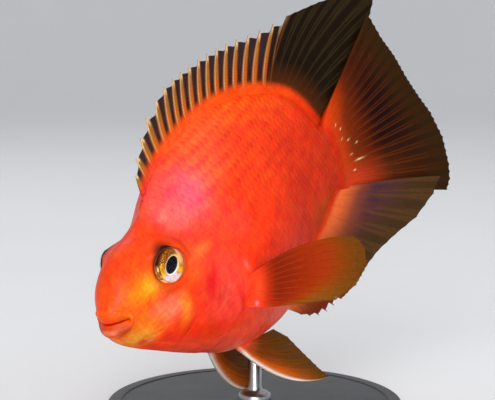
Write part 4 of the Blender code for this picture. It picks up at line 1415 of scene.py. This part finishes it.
@dataclass
class FinSet:
    """All the fins, placed on the body by the same sizes as the solids."""

    body: Body
    pose: Pose
    markings: Markings
    sink: float = 1.6
    dorsal_spines: int = 17
    dorsal_rays: int = 28
    dorsal_base: tuple[float, float, float] = (39.6, 121.5, 143)
    dorsal_tips: tuple = ((0, 38.4, 35.4), (1, 40.8, 41), (2, 46, 47), (3, 52, 52.6), (4, 60, 56.6), (5, 67.5, 59.4),
                          (6, 74.2, 60.6), (7, 80, 61.2), (9, 92.7, 62.3), (11, 104.4, 63), (13, 116, 63),
                          (15, 128.4, 62.6), (17, 143, 64), (19, 160, 64.8), (21, 176.5, 64), (22, 187.4, 59.4),
                          (23, 183.6, 52.9), (24, 174.7, 43.1), (25, 166.6, 34.3), (26, 158.8, 25.4), (27, 152.6, 17.2))
    dorsal_swing: float = -3
    anal_spines: int = 6
    anal_rays: int = 16
    anal_base: tuple[float, float] = (103.5, 144.4)
    anal_tips: tuple = ((0, 110, -50.2), (1, 114.4, -54), (2, 118.8, -56.6), (3, 123.2, -58.2), (4, 127.4, -58.2),
                        (5, 131.4, -57.2), (7, 138.8, -54.2), (9, 146, -50), (10, 150.4, -46.4),
                        (11, 157.5, -42.2), (12, 167, -38.6), (13, 179, -35), (14, 189.5, -28), (15, 194.4, -21.6))
    anal_swing: float = 6.5
    anal_last_bow: float = -0.5
    caudal_rays: int = 17
    caudal_root: tuple[float, float] = (16.8, -10.6)
    caudal_tips: tuple = ((0, 180.4, 54), (2, 184.6, 42), (4, 189, 33.2), (6, 193, 22.5), (8, 197, 13.4),
                          (10, 201.4, 4), (12, 204.4, -8), (14, 204.4, -20.4), (15, 203.2, -26.8), (16, 200.5, -31))
    pectoral_rays: int = 12
    pectoral_root: tuple = ((56.6, -13.4), (54.8, -22.6))
    pectoral_flare: float = math.radians(28)
    pectoral_tips: tuple = ((0, 49.5, 3.4), (1, 52.6, 0.3), (2, 54.2, -3.6), (4, 53.4, -10.5), (6, 46.5, -16),
                            (8, 36, -17.8), (10, 21, -13.2), (11, 12.5, -9.5))
    pectoral_bow: float = 4.5
    pelvic_rays: int = 7
    pelvic_root: tuple = ((61.5, 6.6), (69.5, 5.4))
    pelvic_tips: tuple = ((0, 32, 32.4), (1, 33, 32.4), (2, 31.5, 28.5), (4, 29.5, 17), (5, 28.5, 10), (6, 24.5, 4))
    pelvic_spread: dict = field(default_factory=lambda: {"left": math.radians(30), "right": math.radians(6)})
    pelvic_bow: float = 7.4
    ray_bow: float = 0.045

    def skin_tint(self, points: Array) -> Array:
        """Return the skin's colour at points of a fin's root."""
        return self.markings.tint(points, self.body.orbit)

    def spread_root(self, root_x: list[float], line: Line, up: int) -> Callable[[float], float]:
        """Return how much wider than its web a median fin's root is, so that it runs out into the skin.

        Args:
            root_x: Each ray's distance behind the lip.
            line: The body's line that the fin stands on.
            up: 1 on the back and -1 on the belly.

        Returns:
            The extra half thickness at any place between rays.
        """
        def fillet(place: float) -> float:
            """Read the skin's half width just under its edge."""
            x = float(np.interp(place, np.arange(len(root_x)), root_x))
            return max(0.0, self.body.side_at(x, float(line(x)) - up * (self.sink - 0.3)) - 0.5)

        return fillet

    def median(self, root_x: list[float], line: Line, tips: tuple, up: int, swing: float = 0.0,
               last_bow: float = 1.0) -> list[Ray]:
        """Return the rays of a fin on the middle plane.

        Args:
            root_x: Each ray's distance behind the lip.
            line: The body's line that the fin stands on.
            tips: Table of (ray, x, z) tips.
            up: 1 on the back and -1 on the belly.
            swing: How far the last tip passes to the left.
            last_bow: How much of the usual bow the last ray has.

        Returns:
            The rays, their roots sunk into the body.
        """
        rays = []
        for number, x in enumerate(root_x):
            root = np.array((x, 0, float(line(x)) - up * self.sink))
            along, height = between(tips, number)
            share = (number / (len(root_x) - 1)) ** 2
            tip = np.array((along, -swing * share, height))
            bow = np.cross(tip - root, (0, up, 0)) * self.ray_bow * (1 + (last_bow - 1) * share)
            rays.append(Ray(root, tip, bow))
        return rays

    def dorsal(self, finish: bpy.types.Material) -> None:
        """Build the back fin."""
        first, last_spine, last = self.dorsal_base
        count = self.dorsal_spines
        part = np.linspace(0, 1, self.dorsal_rays - count + 1)[1:] ** 0.85
        roots = [*np.linspace(first, last_spine, count), *(last_spine + (last - last_spine) * part)]
        rays = self.median(roots, self.body.back, self.dorsal_tips, 1, self.dorsal_swing)

        def colours(place: Array, t: Array, ridge: Array, along: Array) -> tuple[Array, Array]:
            """Colour the back fin: gold blades with pale tips and a painted highlight down each front edge, smoky webs
            between, dark toward the rear.
            """
            spiny = ramp(place, count + 0.5, count - 1.5)
            off = place - np.round(place)
            blade = ridge * spiny
            late = ramp(place, 4, 15)
            # Where the painted highlight runs down the front edge of each spine.
            front = bell(off + 0.17 - 0.1 * t, 0.06) * blade
            comb = 0.5 + 0.5 * np.cos(place * 6 * math.pi)
            low = ramp(along, 6.5, 1.2) * (1 - 0.35 * blade)
            streaks = ramp(along, 2.4 + 3.2 * comb, 1 + 1.4 * comb)
            band = spiny * low + (1 - spiny) * streaks
            tint = blend([
                (paint(70, 34, 12), ramp(along, 16, 4)),
                (paint(46, 26, 30), spiny * ramp(t, 0.15, 0.45) * 0.85),
                (paint(52, 44, 27), ridge * (1 - spiny) * 0.65 * ramp(along, 4, 10)),
                (paint(196, 92, 24), blade * (1 - 0.2 * late)),
                (paint(150, 98, 40), blade * ramp(t, 0.3, 0.75) * (1 - 0.3 * late)),
                (paint(228, 196, 150), blade * ramp(t, 0.82, 0.98)),
                # Painted highlight on each spine's front edge.
                (paint(214, 172, 116), front * 0.85),
                (paint(222, 78, 24), band),
            ], paint(22, 19, 9))
            cover = 1 - 0.14 * spiny * (1 - ridge) * ramp(t, 0.25, 0.6)
            return tint, np.clip(cover, 0, 1)

        fin = Fin("dorsal_web", self.pose, rays, SIDEWAYS, count, colours, self.skin_tint, blade=0.27, free_spines=4,
                  notch=0.13, sway=0.7, seed=8, flesh=lambda place: 0.4 + 0.7 * min(1, place / 6), fade=4.5,
                  fillet=self.spread_root(roots, self.body.back, 1), merge=(2, 6), root_shade=0.86)
        fin.build(finish, "dark_fin", "dorsal_fin")

    def anal(self, finish: bpy.types.Material) -> None:
        """Build the anal fin."""
        roots = list(np.linspace(*self.anal_base, self.anal_rays))
        rays = self.median(roots, self.body.belly, self.anal_tips, -1, self.anal_swing, self.anal_last_bow)

        def colours(place: Array, t: Array, ridge: Array, along: Array) -> tuple[Array, Array]:
            """Colour the anal fin: orange at its root, violet streaks below the tail, then olive grey."""
            late = ramp(place, 6, 11)
            fine = 0.5 + 0.5 * np.sin(place * 13 + t * 2)
            tint = blend([
                (paint(84, 46, 44), ramp(t, 0.85, 0.45) * 0.75 * late),
                (paint(50, 36, 58), ramp(place, 11.4, 13.4) * ramp(t, 0.75, 0.4) * fine * 0.7),
                (paint(124, 38, 12), (1 - late) * 0.85),
                (paint(110, 70, 42), ridge * ramp(t, 0.2, 0.5) * 0.35),
                (paint(150, 72, 40), ramp(along, 22, 10) * 0.7),
                (paint(228, 104, 52), ramp(along, 15, 4) * 0.9),
                (paint(236, 190, 160), bell(place, 0.16) * ramp(t, 0.3, 0.6)),
            ], paint(58, 44, 24))
            return tint, np.clip(1 - 0.08 * ramp(t, 0.8, 1.0) + ridge * 0.2, 0, 1)

        fin = Fin("anal_web", self.pose, rays, SIDEWAYS, self.anal_spines, colours, self.skin_tint, notch=0.13,
                  sway=0.9, seed=3, flesh=lambda place: 1.1, fade=7,
                  fillet=self.spread_root(roots, self.body.belly, -1), merge=(2, 5))
        fin.build(finish, "dark_fin", "anal_fin")

    def caudal(self, finish: bpy.types.Material) -> None:
        """Build the tail fin."""
        high, low = self.caudal_root
        root_x = self.body.length - 2.2
        rays = []
        for number in range(self.caudal_rays):
            z = high + (low - high) * number / (self.caudal_rays - 1)
            along, height = between(self.caudal_tips, number)
            rays.append(Ray(np.array((root_x, 0, z * 0.97)), np.array((along, 0, height)), np.zeros(3)))
        body, last = self.body, self.caudal_rays - 1

        def flesh(place: float) -> float:
            """Return the half thickness of the fin's fleshy root."""
            return max(0.9, body.side_at(body.length - 0.5, high + (low - high) * place / last) * 1.04)

        def colours(place: Array, t: Array, ridge: Array, along: Array) -> tuple[Array, Array]:
            """Colour the tail fin: orange root and upper edge, then dark olive brown with paler rays, and small painted
            glints near the root.
            """
            upper = ramp(place, 5, 0.2)
            lower = ramp(place, 9.5, 15)
            root = ramp(along, 15 + 9 * upper + 5 * lower, 5)
            # Painted glints: small pale dots on the fleshy root of the tail.
            spots = ((3.1, 0.16), (4.6, 0.2), (7.3, 0.24), (8.6, 0.3), (6.1, 0.17), (12.6, 0.2), (9.9, 0.21))
            painted_glints = sum(bell(place - p, 0.14) * bell(t - q, 0.01) for p, q in spots)
            painted_glints = painted_glints + bell(place - 11.2, 0.12) * bell(t - 0.27, 0.035)
            tint = blend([
                (paint(84, 40, 20), lower * ramp(t, 1.0, 0.4) * 0.8),
                (paint(104, 48, 16), ridge * ramp(t, 1.3, 0.3) * 0.65),
                (paint(72, 29, 3), upper * ramp(t, 1.05, 0.25)),
                (paint(120, 42, 8), ramp(along, 30, 9)),
                (paint(192, 58, 14), root),
                (paint(196, 60, 32), lower * ramp(t, 0.55, 0.2) * 0.7),
                (paint(50, 36, 12), ramp(t, 0.6, 1.0) * 0.6),
                (paint(226, 200, 146), painted_glints * 0.85),
            ], paint(25, 14, 5))
            return tint, np.clip(1 - 0.05 * ramp(t, 0.85, 1.0) + ridge * 0.2, 0, 1)

        fin = Fin("caudal_web", self.pose, rays, SIDEWAYS, 0, colours, self.skin_tint, rows=60, sway=0.7, seed=6,
                  flesh=flesh, fade=9.5, merge=(2.6, 6.5))
        fin.build(finish, "dark_fin", "caudal_fin")

    def pectoral(self, side: str, sign: int, finish: bpy.types.Material) -> None:
        """Build one pectoral fin."""
        (x0, z0), (x1, z1) = self.pectoral_root
        out = np.array((math.cos(self.pectoral_flare), sign * math.sin(self.pectoral_flare), 0))
        mid_x, mid_z = (x0 + x1) / 2, (z0 + z1) / 2
        middle = np.array((mid_x, sign * self.body.side_at(mid_x, mid_z), mid_z))
        rays = []
        for number in range(self.pectoral_rays):
            part = number / (self.pectoral_rays - 1)
            x, z = x0 + (x1 - x0) * part, z0 + (z1 - z0) * part
            root = np.array((x - 0.6, sign * (self.body.side_at(x, z) - 1.4), z))
            along, up = between(self.pectoral_tips, number)
            bow = np.array((0, sign * 1.2, self.pectoral_bow * (1 - 1.3 * part)))
            rays.append(Ray(root, middle + out * along + (0, 0, up), bow))
        normal = np.array((-sign * math.sin(self.pectoral_flare), math.cos(self.pectoral_flare), 0))

        def colours(place: Array, t: Array, ridge: Array, along: Array) -> tuple[Array, Array]:
            """Colour a pectoral fin: red at its fleshy root, then orange with dark rays, and an olive edge."""
            low = ramp(place, 4, 9)
            tint = blend([
                (paint(112, 66, 16), ramp(t, 0.55, 0.98)),
                (paint(134, 84, 26), low * ramp(t, 0.45, 0.75) * 0.7),
                (paint(84, 20, 4), (1 - ridge) * ramp(along, 5, 9) * ramp(t, 0.7, 0.25) * 0.6),
                (paint(244, 62, 34), ramp(along, 15, 3)),
                (paint(246, 104, 50), bell(along - 6, 2.2) * bell(place - 5, 3) * 0.25),
                (paint(240, 150, 160), bell(along - 5.6, 0.8) * bell(place - 9.6, 0.8) * 0.6),
            ], paint(158, 46, 7))
            return tint, np.clip(0.98 - 0.3 * ramp(t, 0.72, 1.0) + ridge * 0.2, 0, 1)

        fin = Fin(f"pectoral_web_{side}", self.pose, rays, normal, 0, colours, self.skin_tint, stiff=True,
                  fractions=16, soft_ridge=0.26, sway=0.7, seed=4, flesh=lambda place: 1.2, fade=5, root_rise=5,
                  bare=6, merge=(2.5, 6))
        fin.build(finish, "red_fin", f"pectoral_fin_{side}")

    def pelvic(self, side: str, sign: int, finish: bpy.types.Material) -> None:
        """Build one pelvic fin."""
        (x0, y0), (x1, y1) = self.pelvic_root
        spread = self.pelvic_spread[side]
        down = np.array((0, sign * math.sin(spread), -math.cos(spread)))
        rays = []
        for number in range(self.pelvic_rays):
            part = number / (self.pelvic_rays - 1)
            x, y = x0 + (x1 - x0) * part, sign * (y0 + (y1 - y0) * part)
            surface = self.body.belly_at(x, y)
            along, drop = between(self.pelvic_tips, number)
            tip = np.array((x0 + along, sign * y0, self.body.belly_at(x0, y0))) + down * drop
            bow = (down * 0.7 - np.array((0.7, 0, 0))) * self.pelvic_bow * (1 - part)
            rays.append(Ray(np.array((x, y, surface + 1.0)), tip, bow))
        normal = np.array((0, math.cos(spread), sign * math.sin(spread)))

        def colours(place: Array, t: Array, ridge: Array, along: Array) -> tuple[Array, Array]:
            """Colour a pelvic fin: white leading edge, then gold orange with an olive tip."""
            tint = blend([
                (paint(96, 60, 14), ramp(t, 0.35, 0.85)),
                (paint(206, 92, 10), bell(place - 1.5, 1.1) * ramp(t, 1.0, 0.4)),
                (paint(226, 92, 40), ramp(along, 10, 1)),
                (paint(64, 30, 6), (1 - ridge) * ramp(place, 1, 2) * 0.35),
                (paint(240, 222, 206), bell(place - 0.1, 0.8 - 0.5 * t) * ramp(along, 1, 5) * ramp(t, 0.98, 0.6)),
                (paint(214, 176, 112), bell(place, 0.2) * ramp(t, 0.55, 0.9)),
            ], paint(120, 59, 9))
            return tint, np.clip(0.98 - 0.12 * ramp(t, 0.6, 1.0) * ramp(place, 1, 3) + ridge * 0.2, 0, 1)

        fin = Fin(f"pelvic_web_{side}", self.pose, rays, normal, 1, colours, self.skin_tint, stiff=True,
                  fractions=18, notch=0.02, sway=0.5, seed=9, flesh=lambda place: 1.4, fade=5, merge=(1, 3.5))
        fin.build(finish, "red_fin", f"pelvic_fin_{side}")

    def build(self) -> None:
        """Build every fin."""
        dark, red = FinFinish("dark_fin_web").build(), FinFinish("red_fin_web").build()
        self.dorsal(dark)
        self.anal(dark)
        self.caudal(dark)
        for side, sign in (("left", -1), ("right", 1)):
            self.pectoral(side, sign, red)
            self.pelvic(side, sign, red)


def lathe(name: str, profile: Path, steps: int) -> bpy.types.Object:
    """Spin a profile of (radius, height) points round the Z axis.

    Args:
        name: The piece's name.
        profile: The outline in millimetres, from one pole or rim to the other.
        steps: How many steps make the turn.

    Returns:
        The piece in millimetres, its faces outward, ready to be placed.
    """
    points = np.array([(radius, 0, height) for radius, height in profile])
    piece = new_piece(name, points, [])
    mesh = piece.data
    mesh.edges.add(len(points) - 1)
    mesh.edges.foreach_set("vertices", np.stack((np.arange(len(points) - 1), np.arange(1, len(points))), -1).ravel())
    open_mesh(piece)
    bpy.ops.mesh.spin(steps=steps, angle=2 * math.pi, center=(0, 0, 0), axis=(0, 0, 1))
    bpy.ops.mesh.select_all(action="SELECT")
    bpy.ops.mesh.remove_doubles(threshold=0.0005)
    close_mesh()
    mesh.shade_smooth()
    return piece


def local_points(piece: bpy.types.Object) -> Array:
    """Return the points of a piece as an array."""
    out = np.empty(len(piece.data.vertices) * 3)
    piece.data.vertices.foreach_get("co", out)
    return out.reshape(-1, 3)


@dataclass
class Eye:
    """One eye: the eyeball with its iris and pupil, a clear cornea and a thin ring at the skin, dark toward its top by
    painted shade.
    """

    orbit: Orbit
    pose: Pose
    side: str
    sign: int
    iris_radius: float = 6.05
    pupil_radius: float = 3.05
    ring_size: float = 3.2
    pupil_lean: float = math.radians(53)
    pupil_stretch: tuple[float, float] = (1.09, 0.805)

    def place(self, piece: bpy.types.Object) -> None:
        """Move a piece from its own axis to the eye's."""
        local = local_points(piece)
        outward, rearward = self.orbit.axes()
        world = np.array(self.orbit.centre) + np.outer(local[:, 2], outward) + np.outer(local[:, 0], rearward)
        world = (world + np.outer(local[:, 1], (0, 0, 1.0))) * (1, self.sign, 1)
        piece.data.vertices.foreach_set("co", self.pose.placed(world).ravel())
        if self.sign > 0:
            piece.data.flip_normals()
        piece.data.update()

    def build(self, finish: bpy.types.Material, clear: bpy.types.Material, dark: bpy.types.Material) -> None:
        """Build the eye's pieces.

        Args:
            finish: The eyeball's material.
            clear: The cornea's material.
            dark: The ring's material.
        """
        front = math.sqrt(self.orbit.radius ** 2 - self.iris_radius ** 2)
        self.ball(front, finish)
        self.cornea(front, clear)
        self.ring(dark)

    def ball(self, front: float, finish: bpy.types.Material) -> None:
        """Spin the eyeball with its raised iris and a groove round the pupil."""
        radius, iris, pupil = self.orbit.radius, self.iris_radius, self.pupil_radius
        limb = math.atan2(iris + 0.05, front)
        ball = [(radius * math.sin(a), radius * math.cos(a)) for a in np.linspace(math.pi, limb, 26)]
        ball[0] = (0, -radius)
        ball += [(iris - 0.12, front - 0.1), (iris - 0.5, front + 0.06), (5.0, front + 0.16), (4.4, front + 0.16),
                 (3.8, front + 0.08), (3.4, front - 0.04), (pupil + 0.06, front - 0.16), (pupil - 0.04, front - 0.3),
                 (pupil - 0.2, front - 0.2), (2.4, front + 0.18), (1.6, front + 0.46), (0.8, front + 0.6),
                 (0, front + 0.64)]
        eyeball = lathe(f"eyeball_{self.side}", tuple(ball), 72)
        local = local_points(eyeball)
        self.lean_pupil(eyeball, front)
        self.place(eyeball)
        write_values(eyeball, "radius", np.hypot(local[:, 0], local[:, 1]))
        write_values(eyeball, "rear", local[:, 0])
        write_values(eyeball, "height", local[:, 1])
        write_values(eyeball, "wall", (local[:, 2] < front - 0.35).astype(float))
        dress(eyeball, finish, "eye", f"eye_{self.side}")

    def cornea(self, front: float, clear: bpy.types.Material) -> None:
        """Spin the clear dome over the iris."""
        iris = self.iris_radius
        outer = [(iris * math.cos(a), front - 0.1 + 2.3 * math.sin(a)) for a in np.linspace(0, math.pi / 2, 16)]
        inner = [(max(0, r - 0.22), z - 0.2) for r, z in reversed(outer)]
        outer[-1], inner[0] = (0, outer[-1][1]), (0, inner[0][1])
        dome = lathe(f"cornea_{self.side}", tuple(outer[::-1] + inner[::-1] + [outer[0]])[:-1], 64)
        self.close(dome)
        self.place(dome)
        dress(dome, clear, "eye")

    def ring(self, dark: bpy.types.Material) -> None:
        """Lay the thin ring where the eyeball leaves the skin."""
        bpy.ops.object.select_all(action="DESELECT")
        bpy.ops.mesh.primitive_torus_add(major_segments=96, minor_segments=12, major_radius=1, minor_radius=0.05)
        ring = bpy.context.object
        ring.name = ring.data.name = f"eye_ring_{self.side}"
        local = local_points(ring)
        turn = np.arctan2(local[:, 1], local[:, 0])
        rise = self.orbit.rise + self.orbit.slant * np.cos(turn)
        opening = np.sqrt(self.orbit.radius ** 2 - rise ** 2)
        out = (np.hypot(local[:, 0], local[:, 1]) - 1) * self.ring_size
        moved = np.column_stack((np.cos(turn) * (opening + out), np.sin(turn) * (opening + out),
                                 rise - 0.1 + local[:, 2] * self.ring_size))
        # The height across the ring, leaning to the front, which sets where its painted shade falls.
        write_values(ring, "height", 0.9 * np.sin(turn) - 0.35 * np.cos(turn))
        ring.data.vertices.foreach_set("co", moved.ravel())
        ring.data.shade_smooth()
        self.place(ring)
        dress(ring, dark, "eye")

    def lean_pupil(self, eyeball: bpy.types.Object, front: float) -> None:
        """Draw the round pupil out to an oval that leans back at its top, as fading rings round it."""
        points = local_points(eyeball)
        radius = np.hypot(points[:, 0], points[:, 1])
        share = ramp(radius, self.iris_radius - 0.3, self.pupil_radius) * (points[:, 2] > front - 0.4)
        c, s = math.cos(self.pupil_lean), math.sin(self.pupil_lean)
        along, across = points[:, 0] * s + points[:, 1] * c, points[:, 0] * c - points[:, 1] * s
        long, wide = self.pupil_stretch
        along, across = along * (1 + (long - 1) * share), across * (1 + (wide - 1) * share)
        points[:, 0], points[:, 1] = along * s + across * c, along * c - across * s
        eyeball.data.vertices.foreach_set("co", points.ravel())

    @staticmethod
    def close(piece: bpy.types.Object) -> None:
        """Close the rim of a spun shell."""
        shape = bmesh.new()
        shape.from_mesh(piece.data)
        rim = [e for e in shape.edges if e.is_boundary]
        if rim:
            bmesh.ops.bridge_loops(shape, edges=rim)
        bmesh.ops.recalc_face_normals(shape, faces=shape.faces)
        shape.to_mesh(piece.data)
        shape.free()
        piece.data.shade_smooth()


@dataclass
class Stand:
    """The display stand: a turned base with a shallow groove, and a brushed rod with a round foot."""

    radius: float = 58
    height: float = 8
    bevel: float = 1.2
    groove: float = 52
    rod: float = 2.7
    foot: float = 6.5
    foot_height: float = 3
    sharp: float = math.radians(35)

    def turned(self, name: str, outline: list[tuple[float, float]], steps: int) -> bpy.types.Object:
        """Spin one piece of the stand, in metres and with its edges kept sharp."""
        piece = lathe(name, tuple(outline), steps)
        piece.data.transform(Matrix.Scale(MM, 4))
        piece.data.set_sharp_from_angle(angle=self.sharp)
        return piece

    def build(self) -> None:
        """Build both pieces."""
        r, h, b = self.radius, self.height, self.bevel
        corner = [(r - b + b * math.sin(a), h - b + b * math.cos(a)) for a in np.linspace(0, math.pi / 2, 7)]
        groove = [(self.groove - 0.8, h), (self.groove - 0.5, h - 0.45), (self.groove + 0.5, h - 0.45),
                  (self.groove + 0.8, h)]
        outline = [(0, h), (20, h), *groove, *corner, (r, 0.5), (r - 0.5, 0), (0, 0)]
        base = self.turned("stand_disc", outline, 160)
        dress(base, StandFinish("stand_satin_black", Metal.BLACK).build(), "stand_black", "stand_base")
        low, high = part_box("stand_rod")
        top = high[2] / MM
        foot = low[2] / MM
        outline = [(0, foot - 0.25), (self.foot - 0.4, foot - 0.25), (self.foot, foot + 0.2),
                   (self.foot, foot + self.foot_height * 0.55), (self.foot - 0.5, foot + self.foot_height * 0.8)]
        outline += [(self.rod + 0.3 + 2.2 * (1 - math.sin(a)), foot + self.foot_height + 1.6 * (1 - math.cos(a)))
                    for a in np.linspace(0, math.pi / 2, 6)]
        outline += [(self.rod, foot + self.foot_height * 1.7), (self.rod, top), (self.rod - 0.5, top + 0.4),
                    (0, top + 0.4)]
        rod = self.turned("stand_post", outline, 64)
        dress(rod, StandFinish("stand_brushed_steel", Metal.STEEL).build(), "stand_steel", "stand_rod")


@dataclass
class Studio:
    """Floor, light and the camera at the photograph's angle."""

    pose: Pose
    azimuth: float = math.radians(-58.4)
    elevation: float = math.radians(8)
    distance: float = 0.6
    lens: float = 114.84
    aim: tuple[float, float] = (13.5, 11.0)
    reach: float = 3200
    sweep: float = 1400
    wall: float = 2400

    # Name, azimuth and elevation in degrees, distance and side in metres, power in watts.
    LAMPS = (("key", -68, 34, 1.1, 0.6, 4.6), ("front", -52, 16, 1.2, 0.5, 3.1), ("low", -60, 3, 1.0, 0.2, 3.0),
             ("fill", 20, 35, 1.4, 1.0, 3), ("back", 150, 50, 1.3, 0.7, 3))

    @staticmethod
    def away(azimuth: float, elevation: float) -> Vector:
        """Return the direction that leads away from the fish at these angles."""
        flat = math.cos(elevation)
        return Vector((math.sin(azimuth) * flat, -math.cos(azimuth) * flat, math.sin(elevation)))

    def camera(self) -> None:
        """Set the camera; aim is how far right of the fish's centre and above it the camera looks, in mm."""
        back = self.away(self.azimuth, self.elevation)
        right = Vector((math.cos(self.azimuth), math.sin(self.azimuth), 0))
        up = back.cross(right)
        centre = Vector(self.pose.centre()) * MM
        place = centre + back * self.distance
        look = (place - centre - right * self.aim[0] * MM - up * self.aim[1] * MM).normalized()
        side = Vector((0, 0, 1)).cross(look).normalized()
        turned = Matrix((side, look.cross(side), look)).transposed().to_4x4()
        data = bpy.data.cameras.new("camera")
        data.lens = self.lens
        data.sensor_width = 36
        data.clip_start = 0.01
        camera = bpy.data.objects.new("camera", data)
        camera.matrix_world = Matrix.Translation(place) @ turned
        bpy.context.collection.objects.link(camera)
        bpy.context.scene.camera = camera

    def lamp(self, name: str, azimuth: float, elevation: float, distance: float, size: float, power: float) -> None:
        """Add a square soft light that faces the fish.

        Args:
            name: The light's name.
            azimuth: Its direction in degrees, as for the camera.
            elevation: Its height in degrees.
            distance: Its distance in metres.
            size: Its side in metres.
            power: Its power in watts.
        """
        back = self.away(math.radians(azimuth), math.radians(elevation))
        data = bpy.data.lights.new(name, "AREA")
        data.shape = "SQUARE"
        data.size = size
        data.energy = power
        light = bpy.data.objects.new(name, data)
        place = Vector(self.pose.centre()) * MM + back * distance
        light.matrix_world = Matrix.Translation(place) @ back.to_track_quat("Z", "Y").to_matrix().to_4x4()
        bpy.context.collection.objects.link(light)

    def floor(self) -> None:
        """Lay the floor, which curves up into a plain wall all round."""
        turn, reach = self.sweep, self.reach
        curve = [(reach - turn + turn * math.sin(a), turn * (1 - math.cos(a))) for a in np.linspace(0, math.pi / 2, 24)]
        floor = lathe("floor", ((0, 0), (300, 0), (reach - turn, 0), *curve[1:], (reach, self.wall)), 96)
        floor.data.transform(Matrix.Scale(MM, 4))
        floor.data.materials.append(FloorFinish().build())

    def build(self) -> None:
        """Set up the studio."""
        self.camera()
        self.floor()
        for lamp in self.LAMPS:
            self.lamp(*lamp)
        world = bpy.data.worlds.new("studio")
        world.use_nodes = True
        world.node_tree.nodes["Background"].inputs["Color"].default_value = (0.9, 0.93, 1.0, 1)
        world.node_tree.nodes["Background"].inputs["Strength"].default_value = 0.7
        bpy.context.scene.world = world


def main() -> None:
    """Build the fish, the stand and the studio."""
    logging.basicConfig(level=logging.INFO, format="%(name)s %(message)s")
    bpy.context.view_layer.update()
    bpy.context.scene.view_settings.view_transform = "Standard"
    body, pose, markings = Body(), Pose(), Markings()
    Studio(pose).build()
    half = HalfSkin(body)
    Skin(half, pose, markings).build(SkinFinish("wet_skin"))
    scale_finish = ScaleFinish("wet_scales").build()
    scales = Scales(half, pose, markings)
    for side, sign in (("left", -1), ("right", 1)):
        scales.build(side, sign, scale_finish)
    FinSet(body, pose, markings).build()
    eye_finish = EyeFinish("gold_eye").build()
    clear = CorneaFinish("clear_cornea").build()
    rim = RimFinish().build()
    for side, sign in (("left", -1), ("right", 1)):
        Eye(body.orbit, pose, side, sign).build(eye_finish, clear, rim)
    Stand().build()


if __name__ == "__main__":
    main()
